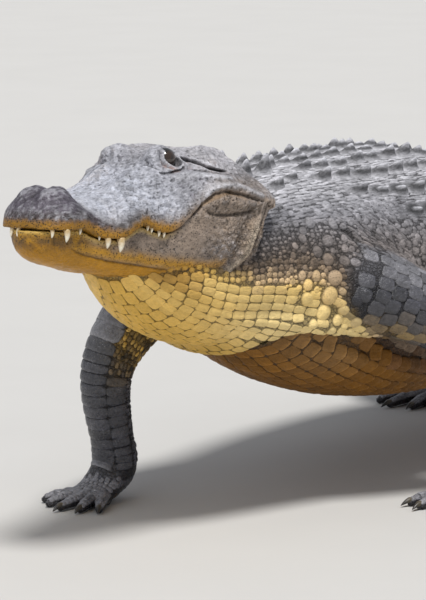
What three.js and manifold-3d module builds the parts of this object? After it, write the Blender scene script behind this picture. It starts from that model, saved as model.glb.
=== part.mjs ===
// American alligator, adult, walking high on its legs with the head turned a little to its right.
// A still, life-size figure. Lengths are in metres in the constants below and in millimetres in the meshes.
// Frame: +Z up, the floor at Z 0, the animal heads towards -X and its left side faces -Y.
import * as THREE from "three";
import { mergeVertices } from "three/addons/utils/BufferGeometryUtils.js";
import Module from "manifold-3d";

const wasm = await Module();
wasm.setup();

// ---------------------------------------------------------------- main sizes
const MM = 1000;
const GAP = 0.0004; // clearance left between touching pieces
const BODY_LENGTH = 2.96; // snout tip to tail tip along the spine
const SHOULDER_S = 0.655; // distance of the working origin, above the shoulders, behind the snout tip
const SCUTE_PITCH = 0.046; // length of one cross row of back scutes
const KEEL_HEIGHT = 0.014; // keel of a back scute above the skin
const HEAD_SCALE = 0.935; // size of this head against the table of head sizes below
const MOUTH_Z = 0.4727; // height of the mouth line at the snout tip
const HEAD_PITCH = THREE.MathUtils.degToRad(5.2); // nose up
const HEAD_ROLL = THREE.MathUtils.degToRad(1); // left side up

// ---------------------------------------------------------------- profiles
// A smooth curve through a few named sizes, monotone between them.
function profile(rows, column) {
  const xs = rows.map((r) => r[0]),
    ys = rows.map((r) => r[column]);
  const n = xs.length,
    slope = [],
    tangent = new Array(n);
  for (let i = 0; i < n - 1; i++) slope.push((ys[i + 1] - ys[i]) / (xs[i + 1] - xs[i]));
  tangent[0] = slope[0];
  tangent[n - 1] = slope[n - 2];
  for (let i = 1; i < n - 1; i++) {
    const a = slope[i - 1],
      b = slope[i];
    tangent[i] = a * b <= 0 ? 0 : (2 * a * b) / (a + b);
  }
  return (x) => {
    if (x <= xs[0]) return ys[0];
    if (x >= xs[n - 1]) return ys[n - 1];
    let i = 0;
    while (x > xs[i + 1]) i++;
    const h = xs[i + 1] - xs[i],
      t = (x - xs[i]) / h,
      t2 = t * t,
      t3 = t2 * t;
    return (
      (2 * t3 - 3 * t2 + 1) * ys[i] +
      (t3 - 2 * t2 + t) * h * tangent[i] +
      (-2 * t3 + 3 * t2) * ys[i + 1] +
      (t3 - t2) * h * tangent[i + 1]
    );
  };
}

// Neck, trunk and tail: distance behind the snout tip, half width, top, bottom, height of the widest line, roundness above and below.
const BODY = [
  [0.185, 0.024, 0.43, 0.405, 0.42, 2, 2], // front of the throat
  [0.195, 0.046, 0.432, 0.382, 0.415, 2, 2],
  [0.222, 0.068, 0.435, 0.35, 0.405, 2, 2],
  [0.265, 0.088, 0.44, 0.314, 0.395, 2, 2.1],
  [0.315, 0.105, 0.45, 0.288, 0.385, 2, 2.2],
  [0.365, 0.117, 0.46, 0.27, 0.375, 2, 2.2], // below the ears
  [0.42, 0.13, 0.49, 0.259, 0.372, 2.1, 2.2], // nape
  [0.5, 0.148, 0.506, 0.231, 0.365, 2.1, 2.2],
  [0.58, 0.166, 0.51, 0.196, 0.35, 2.1, 2.2], // nuchal shield
  [0.68, 0.186, 0.509, 0.16, 0.33, 2.1, 2.2],
  [0.78, 0.202, 0.511, 0.135, 0.31, 2.1, 2.2], // shoulders
  [0.9, 0.212, 0.509, 0.121, 0.3, 2.1, 2.2], // chest
  [1.04, 0.215, 0.489, 0.118, 0.295, 2.1, 2.3], // belly
  [1.16, 0.208, 0.461, 0.128, 0.295, 2.1, 2.3],
  [1.28, 0.185, 0.433, 0.152, 0.3, 2.1, 2.2],
  [1.38, 0.158, 0.408, 0.176, 0.3, 2.1, 2.1], // hips
  [1.48, 0.128, 0.375, 0.184, 0.285, 2.2, 2.1], // tail base
  [1.6, 0.105, 0.33, 0.16, 0.25, 2.3, 2.1],
  [1.8, 0.082, 0.262, 0.095, 0.18, 2.3, 2.1],
  [2.0, 0.063, 0.202, 0.035, 0.115, 2.3, 2.1],
  [2.18, 0.049, 0.155, -0.004, 0.072, 2.3, 2.2], // tail reaches the floor
  [2.4, 0.034, 0.113, -0.011, 0.05, 2.2, 2.2],
  [2.66, 0.02, 0.07, -0.006, 0.03, 2.1, 2.1],
  [2.96, 0.004, 0.014, -0.003, 0.006, 2, 2], // tail tip
];
const bodyW = profile(BODY, 1),
  bodyTop = profile(BODY, 2),
  bodyBot = profile(BODY, 3),
  bodyMid = profile(BODY, 4),
  bodyNT = profile(BODY, 5),
  bodyNB = profile(BODY, 6);

// Heading of the spine in plan, in degrees, turned to the animal's right from -X.
const HEADING = [
  [0, 0.9],
  [0.45, 0.9],
  [0.7, 0],
  [1.0, 0],
  [1.36, 3],
  [1.7, 13],
  [2.05, 9],
  [2.45, -14],
  [2.96, -36],
];
const heading = profile(HEADING, 1);
const STEP = 0.005;
const plan = (() => {
  const points = [];
  let x = 0,
    y = 0;
  for (let i = 0; i * STEP <= BODY_LENGTH + STEP; i++) {
    points.push([x, y]);
    const b = THREE.MathUtils.degToRad(heading((i + 0.5) * STEP));
    x += STEP * Math.cos(b);
    y -= STEP * Math.sin(b);
  }
  const k = SHOULDER_S / STEP,
    [ox, oy] = points[Math.round(k)];
  return points.map(([a, b]) => [a - ox, b - oy]);
})();
function spine(s) {
  const k = Math.min(Math.max(s / STEP, 0), plan.length - 1.001),
    i = Math.floor(k),
    t = k - i;
  const b = THREE.MathUtils.degToRad(heading(s));
  return {
    x: plan[i][0] * (1 - t) + plan[i + 1][0] * t,
    y: plan[i][1] * (1 - t) + plan[i + 1][1] * t,
    left: [-Math.sin(b), -Math.cos(b)],
  };
}
const bodyPoint = (s, u, z) => {
  const p = spine(s);
  return new THREE.Vector3(p.x + u * p.left[0], p.y + u * p.left[1], z);
};

// Upper side of the head: distance behind the snout tip, half width at the lip, lip height, height of the midline,
// then half width and height of the edge of its flat top, and of the middle of its side.
const SKULL = [
  [0, 0.009, 0.002, 0.018, 0.006, 0.017, 0.009, 0.01],
  [0.006, 0.033, 0.002, 0.034, 0.017, 0.031, 0.0315, 0.018],
  [0.018, 0.0515, 0.002, 0.047, 0.028, 0.043, 0.0485, 0.024],
  [0.036, 0.0615, 0.002, 0.053, 0.034, 0.049, 0.058, 0.027],
  [0.056, 0.0635, 0.0045, 0.0525, 0.035, 0.0485, 0.0605, 0.028],
  [0.08, 0.0625, -0.001, 0.0475, 0.034, 0.0445, 0.059, 0.024],
  [0.105, 0.0725, -0.01, 0.046, 0.04, 0.043, 0.066, 0.022],
  [0.13, 0.082, -0.0105, 0.05, 0.047, 0.0465, 0.075, 0.024],
  [0.16, 0.0865, 0.0015, 0.057, 0.05, 0.0535, 0.08, 0.031],
  [0.18, 0.088, 0.008, 0.063, 0.051, 0.0595, 0.081, 0.036],
  [0.205, 0.092, 0.001, 0.072, 0.052, 0.068, 0.083, 0.038],
  [0.225, 0.097, -0.003, 0.083, 0.05, 0.079, 0.086, 0.042],
  [0.25, 0.104, 0.006, 0.096, 0.049, 0.0925, 0.091, 0.051],
  [0.268, 0.109, 0.021, 0.1025, 0.0485, 0.1, 0.095, 0.062],
  [0.2855, 0.114, 0.034, 0.11, 0.0495, 0.107, 0.099, 0.073],
  [0.31, 0.121, 0.048, 0.1175, 0.053, 0.115, 0.104, 0.082],
  [0.337, 0.127, 0.054, 0.121, 0.057, 0.1185, 0.108, 0.086],
  [0.37, 0.134, 0.047, 0.1225, 0.0585, 0.121, 0.11, 0.084],
  [0.41, 0.139, 0.042, 0.1195, 0.0585, 0.118, 0.109, 0.082],
  [0.44, 0.139, 0.04, 0.105, 0.056, 0.103, 0.106, 0.078],
  [0.46, 0.132, 0.034, 0.084, 0.05, 0.082, 0.1, 0.068],
  [0.475, 0.118, 0.028, 0.062, 0.04, 0.06, 0.085, 0.05],
];
const [skullW, lipZ, skullTop, edgeW, edgeZ, sideW, sideZ] = [1, 2, 3, 4, 5, 6, 7].map((c) => profile(SKULL, c));

// Lower jaw: distance behind the tip, how far it stands inside the upper lip, depth of its lower edge, squareness.
const JAW = [
  [0.003, 0.011, -0.016, 2],
  [0.008, 0.0125, -0.027, 2],
  [0.02, 0.014, -0.04, 2.2],
  [0.045, 0.014, -0.049, 2.4],
  [0.09, 0.0115, -0.056, 2.6],
  [0.14, 0.0115, -0.064, 2.8],
  [0.2, 0.009, -0.068, 3],
  [0.26, 0.004, -0.074, 3],
  [0.32, 0, -0.08, 3.2],
  [0.36, -0.001, -0.084, 3.4],
  [0.4, -0.001, -0.083, 3.4],
  [0.44, 0.001, -0.066, 3],
  [0.475, 0.004, -0.02, 2.2],
];
const jawInset = profile(JAW, 1),
  jawBottom = profile(JAW, 2),
  jawN = profile(JAW, 3);

// Eyes, nostrils and teeth, in the head's own frame: back from the tip, out to the side, up from the mouth line.
const EYE = { a: 0.2845, b: 0.0458, z: 0.1047, r: 0.0168 };
const LID = { ra: 0.0132, rb: 0.014, rz: 0.0106 }; // half length, reach and half height of the opening between the lids
const BROW = { a: 0.2835, b: 0.0358, z: 0.0975, ra: 0.0305, rb: 0.0245, rz: 0.0275 };
const NOSTRIL = { a: 0.047, b: 0.017, z: 0.045, ra: 0.031, rb: 0.022, rz: 0.018 };
// Upper teeth that show with the mouth shut: distance behind the tip, length and root radius, and 1 or -1 for one only on the left or right.
const TEETH = [
  [0.0015, 0.0115, 0.0034, -1],
  [0.0045, 0.0125, 0.0036, -1],
  [0.0095, 0.011, 0.0034, 1],
  [0.0255, 0.0165, 0.0052],
  [0.0525, 0.008, 0.0026],
  [0.0935, 0.006, 0.0024],
  [0.1065, 0.014, 0.005],
  [0.128, 0.019, 0.0062],
  [0.1865, 0.008, 0.0028],
  [0.195, 0.008, 0.0028],
  [0.2095, 0.0095, 0.003],
  [0.219, 0.0085, 0.0028],
];

const headFrame = (() => {
  const b = THREE.MathUtils.degToRad(HEADING[0][1]),
    p = HEAD_PITCH,
    o = spine(0);
  const forward = new THREE.Vector3(-Math.cos(b) * Math.cos(p), Math.sin(b) * Math.cos(p), Math.sin(p));
  let left = new THREE.Vector3(-Math.sin(b), -Math.cos(b), 0);
  let up = new THREE.Vector3().crossVectors(forward, left);
  const c = Math.cos(HEAD_ROLL),
    s = Math.sin(HEAD_ROLL);
  const left2 = left.clone().multiplyScalar(c).addScaledVector(up, s);
  up = new THREE.Vector3().crossVectors(forward, left2);
  return { tip: new THREE.Vector3(o.x, o.y, MOUTH_Z), forward, left: left2, up };
})();
const headPoint = (a, b, z) =>
  headFrame.tip
    .clone()
    .addScaledVector(headFrame.forward, -a * HEAD_SCALE)
    .addScaledVector(headFrame.left, b * HEAD_SCALE)
    .addScaledVector(headFrame.up, z * HEAD_SCALE);

// ---------------------------------------------------------------- mesh helpers
// Closed skin over rings of points, all with the same count; each end closes on its middle.
function skinOver(rings, startPole, endPole) {
  const n = rings[0].length,
    v = [],
    f = [];
  rings.forEach((r) => r.forEach((p) => v.push(p.x * MM, p.y * MM, p.z * MM)));
  const middle = (r) => r.reduce((m, p) => m.add(p), new THREE.Vector3()).multiplyScalar(1 / r.length);
  const s = startPole || middle(rings[0]),
    e = endPole || middle(rings[rings.length - 1]);
  v.push(s.x * MM, s.y * MM, s.z * MM, e.x * MM, e.y * MM, e.z * MM);
  const si = rings.length * n,
    ei = si + 1;
  for (let i = 0; i < rings.length - 1; i++)
    for (let j = 0; j < n; j++) {
      const a = i * n + j,
        b = i * n + ((j + 1) % n),
        c = a + n,
        d = b + n;
      // the shorter diagonal, so that saddle faces stay calm
      const pa = rings[i][j],
        pb = rings[i][(j + 1) % n],
        pc = rings[i + 1][j],
        pd = rings[i + 1][(j + 1) % n];
      if (pa.distanceToSquared(pd) < pb.distanceToSquared(pc)) f.push(a, b, d, a, d, c);
      else f.push(a, b, c, b, d, c);
    }
  for (let j = 0; j < n; j++) {
    f.push(si, (j + 1) % n, j);
    const l = (rings.length - 1) * n;
    f.push(ei, l + j, l + ((j + 1) % n));
  }
  const g = new THREE.BufferGeometry();
  g.setAttribute("position", new THREE.Float32BufferAttribute(v, 3));
  g.setIndex(f);
  return g;
}
function toSolid(geometry) {
  const g = geometry.clone();
  g.deleteAttribute("normal");
  g.deleteAttribute("uv");
  const m = mergeVertices(g, 1e-4);
  let solid = new wasm.Manifold(
    new wasm.Mesh({
      numProp: 3,
      vertProperties: new Float32Array(m.attributes.position.array),
      triVerts: new Uint32Array(m.index.array),
    }),
  );
  if (solid.volume() < 0) {
    const t = new Uint32Array(m.index.array);
    for (let i = 0; i < t.length; i += 3) [t[i + 1], t[i + 2]] = [t[i + 2], t[i + 1]];
    solid = new wasm.Manifold(
      new wasm.Mesh({ numProp: 3, vertProperties: new Float32Array(m.attributes.position.array), triVerts: t }),
    );
  }
  return solid;
}
function toGeometry(solid) {
  const m = solid.getMesh();
  const g = new THREE.BufferGeometry();
  const v = [];
  for (let i = 0; i < m.numVert; i++) v.push(...m.vertProperties.slice(i * m.numProp, i * m.numProp + 3));
  g.setAttribute("position", new THREE.Float32BufferAttribute(v, 3));
  g.setIndex(Array.from(m.triVerts));
  return g;
}
const union = (list) => list.reduce((a, b) => a.add(b));
// The largest body of a solid: trims the slivers that a cut can leave.
const largest = (solid) => solid.decompose().sort((a, b) => b.volume() - a.volume())[0];
// A large box that fills the side of a plane which the normal points to.
function side(point, normal, offset = 0) {
  const size = 4 * MM;
  const g = new THREE.BoxGeometry(size, size, size);
  const n = normal.clone().normalize();
  const q = new THREE.Quaternion().setFromUnitVectors(new THREE.Vector3(0, 0, 1), n);
  const c = point.clone().multiplyScalar(MM).addScaledVector(n, size / 2 + offset * MM);
  g.applyMatrix4(new THREE.Matrix4().compose(c, q, new THREE.Vector3(1, 1, 1)));
  return toSolid(g);
}
const floorSide = side(new THREE.Vector3(0, 0, 0), new THREE.Vector3(0, 0, 1));
function ball(centre, radii, axes, detail) {
  const g = new THREE.SphereGeometry(1, detail, Math.max(4, Math.round(detail / 2)));
  const m = new THREE.Matrix4().makeBasis(
    axes[0].clone().multiplyScalar(radii[0] * MM),
    axes[1].clone().multiplyScalar(radii[1] * MM),
    axes[2].clone().multiplyScalar(radii[2] * MM),
  );
  m.setPosition(centre.clone().multiplyScalar(MM));
  g.applyMatrix4(m);
  return toSolid(g);
}

// ---------------------------------------------------------------- neck, trunk and tail
const superRadius = (c, s, w, h, n) => 1 / Math.pow(Math.pow(Math.abs(c) / w, n) + Math.pow(Math.abs(s) / h, n), 1 / n);
// Keels of the back: their places across the back, as angles from the top, and how high each stands at a distance along it.
const KEEL_ANGLES = [10, 27, 44, 60];
const bump = (x, a, b) => (x <= a || x >= b ? 0 : Math.sin((Math.PI * (x - a)) / (b - a)));
function bodyRing(s, count, grow, raise) {
  const w = bodyW(s),
    mid = bodyMid(s),
    ht = bodyTop(s) - mid,
    hb = mid - bodyBot(s);
  const ring = [];
  for (let j = 0; j < count; j++) {
    // vertices crowd on the back, where the keels are
    const t = ((j + 0.5) / count) * 2 - 1; // -1..1 around, 0 on top
    const angle = Math.PI * (0.62 * t + 0.38 * t * t * t);
    const c = Math.sin(angle),
      v = Math.cos(angle);
    let r = v >= 0 ? superRadius(c, v, w, ht, bodyNT(s)) : superRadius(c, v, w, hb, bodyNB(s));
    r += grow + (raise ? raise(s, j, count, angle) : 0);
    ring.push(bodyPoint(s, c * r, mid + v * r));
  }
  return ring;
}
// Keels stand on every other vertex of the back, highest at the back end of each row of scutes.
function keelRaise(front, back, peak) {
  return (s, j, count, angle) => {
    const deg = Math.abs(THREE.MathUtils.radToDeg(angle));
    const odd = Math.round(Math.abs(j + 0.5 - count / 2) - 0.5) % 2 === 0;
    return peak * (odd ? 1 : 0.12) * (deg < 62 ? 1 : deg < 75 ? 0.5 : 0) * Math.min(1, bump(s, front, back) * 2.2);
  };
}
function trunkSolid(s0, s1, count, grow, keels) {
  const rings = [];
  const first = s0 - 2 * grow,
    last = s1 + 2 * grow; // a grown copy also reaches past both ends
  if (keels) {
    const rows = Math.round((s1 - s0) / SCUTE_PITCH),
      p = (s1 - s0) / rows;
    for (let i = 0; i < rows; i++) {
      rings.push(bodyRing(i ? s0 + i * p : first, count, grow, null));
      rings.push(bodyRing(s0 + (i + 0.72) * p, count, grow, keelRaise(0.56, 1.62, KEEL_HEIGHT)));
    }
    rings.push(bodyRing(last, count, grow, null));
  } else {
    const rows = Math.max(3, Math.round((s1 - s0) / 0.04));
    for (let i = 0; i <= rows; i++) rings.push(bodyRing(i === 0 ? first : i === rows ? last : s0 + ((s1 - s0) * i) / rows, count, grow, null));
  }
  return toSolid(skinOver(rings));
}
// Tail: two crests of blades that draw together into one.
const CRESTS_MEET = 2.12;
const crestHeight = profile([[1.4, 0.012], [1.65, 0.022], [1.9, 0.034], [2.15, 0.045], [2.55, 0.04], [2.85, 0.022], [BODY_LENGTH, 0.008]], 1);
const crestSpread = profile([[1.4, 0.055], [1.65, 0.05], [1.9, 0.034], [CRESTS_MEET, 0.0], [BODY_LENGTH, 0.0]], 1);
const whorlPitch = profile([[1.45, 0.05], [2.2, 0.046], [BODY_LENGTH, 0.034]], 1);
function tailRing(s, grow, raise) {
  const w = bodyW(s),
    mid = bodyMid(s),
    ht = bodyTop(s) - mid,
    hb = mid - bodyBot(s);
  const at = Math.asin(Math.min(0.95, crestSpread(s) / Math.max(ht, 0.001)));
  const ring = [];
  const flat = crestSpread(s) < 0.006;
  // angles from the top: crests, flanks and belly
  const half = [flat ? 0.06 : at, (at + 1.3) / 2 + 0.15, 1.45, 2.05, 2.75];
  const angles = [...half.map((a) => -a).reverse(), 0, ...half];
  for (const angle of angles) {
    const c = Math.sin(angle),
      v = Math.cos(angle);
    let r = v >= 0 ? superRadius(c, v, w, ht, bodyNT(s)) : superRadius(c, v, w, hb, bodyNB(s));
    r += grow;
    const p = bodyPoint(s, c * r, Math.max(mid + v * r, 0));
    if (flat ? angle === 0 : Math.abs(Math.abs(angle) - at) < 1e-6) p.z += raise * crestHeight(s);
    ring.push(p);
  }
  return ring;
}
function tailSolid(s0, s1, grow) {
  const rings = [tailRing(s0 - 2 * grow, grow, 0)];
  let s = s0;
  while (s < s1 - 0.6 * whorlPitch(s)) {
    const p = whorlPitch(s);
    if (s > s0) rings.push(tailRing(s, grow, 0.1));
    rings.push(tailRing(s + 0.66 * p, grow, 1));
    s += p;
  }
  rings.push(tailRing(s1 + 2 * grow, grow, s1 > BODY_LENGTH - 0.01 ? 0 : 0.05));
  return toSolid(skinOver(rings));
}

// ---------------------------------------------------------------- head
// A grown copy, which cuts the room for the piece, is longer by as much at both ends.
const endShift = (a, grow) => (a > 0.47 ? grow : a < 0.01 ? -grow : 0);
function skullRing(a, grow) {
  const w = skullW(a) + grow,
    lip = lipZ(a) - grow;
  const corners = [
    [w, lip],
    [w * 1.0, lip + 0.3 * (sideZ(a) - lip)],
    [sideW(a) + grow, sideZ(a) + grow / 2],
    [edgeW(a) + grow / 2, edgeZ(a) + grow],
    [0, skullTop(a) + grow],
  ];
  const section = new THREE.CatmullRomCurve3(
    [...corners, ...corners.slice(0, 4).reverse().map(([y, z]) => [-y, z])].map(([y, z]) => new THREE.Vector3(0, y, z)),
    false,
    "centripetal",
  );
  const ring = section.getPoints(12).map((p) => headPoint(a + endShift(a, grow), p.y, p.z));
  for (let j = 1; j < 4; j++) ring.push(headPoint(a + endShift(a, grow), -w + (2 * w * j) / 4, lip));
  return ring;
}
// Stations along the head: those of the table.
const HEAD_STATIONS = SKULL.map(([a]) => a);
function skullSolid(grow) {
  return toSolid(skinOver(HEAD_STATIONS.map((a) => skullRing(a, grow)), headPoint(-0.002 - grow, 0, 0.008), headPoint(0.478 + grow, 0, 0.04)));
}
function jawRing(a, count, grow) {
  const w = skullW(a) - jawInset(a) + grow,
    lip = lipZ(a) - GAP + grow,
    h = lip - (jawBottom(a) - grow),
    n = jawN(a);
  const ring = [];
  for (let j = 0; j <= count; j++) {
    const t = (Math.PI * j) / count,
      c = Math.cos(t),
      s = Math.sin(t);
    const e = 2 / n;
    ring.push(headPoint(a + endShift(a, grow), -w * Math.sign(c) * Math.pow(Math.abs(c), e), lip - h * Math.pow(Math.abs(s), e)));
  }
  for (let j = 1; j < 4; j++) ring.push(headPoint(a + endShift(a, grow), w - (2 * w * j) / 4, lip));
  return ring;
}
// The jaw has its rings where the skull has them, so that its top lies parallel to the lip, a gap below it.
function jawSolid(grow) {
  const at = HEAD_STATIONS.map((a) => (a === 0 ? 0.003 : a));
  return toSolid(skinOver(at.map((a) => jawRing(a, 10, grow)), headPoint(0.001 - grow, 0, -0.006)));
}
function toothSolid(a, side_, length, root, grow) {
  const radius = root + grow;
  const w = skullW(a);
  // teeth stand just inside the upper lip and lean out a little
  const out = (skullW(a + 0.002) - skullW(a - 0.002)) / 0.004,
    k = 1 / Math.hypot(1, out);
  const inset = 0.0052;
  const aa = a + inset * out * k * 0.8,
    bb = w - inset * k;
  const rings = [0, 0.6].map((t, i) => {
    const r = radius * [1, 0.72][i];
    const z = lipZ(a) + 0.003 + grow - (length + 0.003) * t;
    return Array.from({ length: 4 }, (_, j) => {
      const q = (Math.PI * 2 * j) / 4;
      return headPoint(aa + r * Math.cos(q), side_ * (bb + r * Math.sin(q)), z);
    });
  });
  return toSolid(skinOver(rings, null, headPoint(aa, side_ * bb, lipZ(a) - length - grow * 2)));
}
const axesOfHead = [headFrame.forward.clone().negate(), headFrame.left, headFrame.up];
function headUpper() {
  let solid = skullSolid(0);
  const extra = [];
  for (const sgn of [1, -1]) {
    extra.push(ball(headPoint(BROW.a, sgn * BROW.b, BROW.z), [BROW.ra, BROW.rb, BROW.rz], axesOfHead, 9));
    extra.push(ball(headPoint(NOSTRIL.a, sgn * NOSTRIL.b, NOSTRIL.z), [NOSTRIL.ra, NOSTRIL.rb, NOSTRIL.rz], axesOfHead, 8));
    for (const [a, length, radius, only] of TEETH) if (!only || only === sgn) extra.push(toothSolid(a, sgn, length, radius, 0));
  }
  solid = union([solid, ...extra]);
  for (const sgn of [1, -1])
    solid = solid
      .subtract(ball(headPoint(EYE.a, sgn * EYE.b, EYE.z), [EYE.r * HEAD_SCALE + GAP, EYE.r * HEAD_SCALE + GAP, EYE.r * HEAD_SCALE + GAP], axesOfHead, 10))
      // opening between the lids
      .subtract(ball(headPoint(EYE.a, sgn * (EYE.b + EYE.r), EYE.z), [LID.ra, LID.rb, LID.rz], axesOfHead, 8));
  return solid;
}

// ---------------------------------------------------------------- limbs
// A limb is a tube of oval section along a smooth curve through its joints.
function limbTube(points, radii, steps, count) {
  const curve = new THREE.CatmullRomCurve3(points, false, "centripetal");
  const frames = curve.computeFrenetFrames(steps, false);
  const rings = [];
  for (let i = 0; i <= steps; i++) {
    const t = i / steps,
      k = t * (radii.length - 1),
      a = Math.min(Math.floor(k), radii.length - 2),
      m = k - a,
      e = m * m * (3 - 2 * m);
    const u = curve.getUtoTmapping(t);
    const kk = u * (radii.length - 1),
      aa = Math.min(Math.floor(kk), radii.length - 2),
      mm = kk - aa;
    const rw = radii[aa][0] * (1 - mm) + radii[aa + 1][0] * mm,
      rt = radii[aa][1] * (1 - mm) + radii[aa + 1][1] * mm;
    const p = curve.getPoint(u);
    const tan = curve.getTangent(u).normalize();
    // the wide axis lies in the upright plane of the limb
    const across = new THREE.Vector3().crossVectors(tan, SIDEWAYS).normalize();
    const thick = new THREE.Vector3().crossVectors(across, tan).normalize();
    rings.push(
      Array.from({ length: count }, (_, j) => {
        const q = (Math.PI * 2 * j) / count;
        return p.clone().addScaledVector(across, rw * Math.cos(q)).addScaledVector(thick, rt * Math.sin(q));
      }),
    );
  }
  return toSolid(skinOver(rings));
}
const SIDEWAYS = new THREE.Vector3(0, 1, 0);
const V = (x, y, z) => new THREE.Vector3(x, y, z);

// A toe or finger that lies along the floor: from the knuckle, in a plan direction, arched, with a blunt end.
function digit(root, direction, length, r0, r1, arch) {
  const d = V(Math.cos(direction), Math.sin(direction), 0),
    across = V(-d.y, d.x, 0);
  const rings = [0, 0.92].map((t) => {
    const r = r0 + (r1 - r0) * t;
    const c = root.clone().addScaledVector(d, length * t);
    c.z = 0.74 * r + arch * Math.sin(Math.PI * t); // flat under the knuckle and under the tip
    return Array.from({ length: 5 }, (_, j) => {
      const q = (Math.PI * 2 * (j + 0.25)) / 5;
      return c.clone().addScaledVector(across, r * Math.cos(q)).add(V(0, 0, r * Math.sin(q)));
    });
  });
  const tip = root.clone().addScaledVector(d, length);
  tip.z = r1 * 0.7;
  return toSolid(skinOver(rings, root.clone().addScaledVector(d, -0.01), tip));
}
// A claw: a small curved horn on the end of a digit. It starts GAP past the cut end of the digit.
function claw(root, direction, length, r, digitLength, rTip, droop) {
  const d = V(Math.cos(direction), Math.sin(direction), 0),
    across = V(-d.y, d.x, 0);
  const rings = [0, 0.55].map((t) => {
    const rr = r * (1 - 0.8 * t);
    const c = root.clone().addScaledVector(d, digitLength + length * t);
    c.z = rTip * 0.95 + 0.003 - droop * t * t;
    return Array.from({ length: 5 }, (_, j) => {
      const q = (Math.PI * 2 * (j + 0.25)) / 5;
      return c.clone().addScaledVector(across, rr * 0.8 * Math.cos(q)).add(V(0, 0, rr * Math.sin(q)));
    });
  });
  const tip = root.clone().addScaledVector(d, digitLength + length);
  tip.z = rTip * 0.95 + 0.003 - droop * 1.15;
  return toSolid(skinOver(rings, null, tip));
}

// Joints of each limb, and where the foot points in plan, in degrees from +X.
const ARM = [[0.068, 0.06], [0.066, 0.058], [0.043, 0.041], [0.03, 0.032]];
const LEG = [[0.09, 0.075], [0.094, 0.075], [0.058, 0.052], [0.034, 0.035]];
const LIMBS = {
  fore_right: {
    path: [V(0.04, 0.085, 0.4), V(-0.05, 0.142, 0.345), V(-0.168, 0.2, 0.212), V(-0.15, 0.203, 0.058)],
    radii: ARM,
    names: ["upper_arm_right", "forearm_right", "hand_right"],
    foot: { x: -0.185, y: 0.207, yaw: 172, fore: true, mirror: 1 },
  },
  fore_left: {
    path: [V(-0.1, -0.085, 0.358), V(-0.03, -0.155, 0.332), V(0.12, -0.238, 0.24), V(0.142, -0.248, 0.094)],
    radii: ARM,
    names: ["upper_arm_left", "forearm_left", "hand_left"],
    foot: { x: 0.1, y: -0.252, yaw: 186, fore: true, mirror: -1 },
  },
  hind_right: {
    path: [V(0.72, 0.03, 0.33), V(0.72, 0.12, 0.3), V(0.76, 0.23, 0.205), V(0.922, 0.193, 0.095)],
    radii: LEG,
    names: ["thigh_right", "shank_right", "foot_right"],
    foot: { x: 0.872, y: 0.188, yaw: 175, fore: false, mirror: 1 },
  },
  hind_left: {
    path: [V(0.78, -0.04, 0.32), V(0.69, -0.13, 0.31), V(0.54, -0.238, 0.25), V(0.632, -0.236, 0.078)],
    radii: LEG,
    names: ["thigh_left", "shank_left", "foot_left"],
    foot: { x: 0.585, y: -0.24, yaw: 186, fore: false, mirror: -1 },
  },
};
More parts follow.
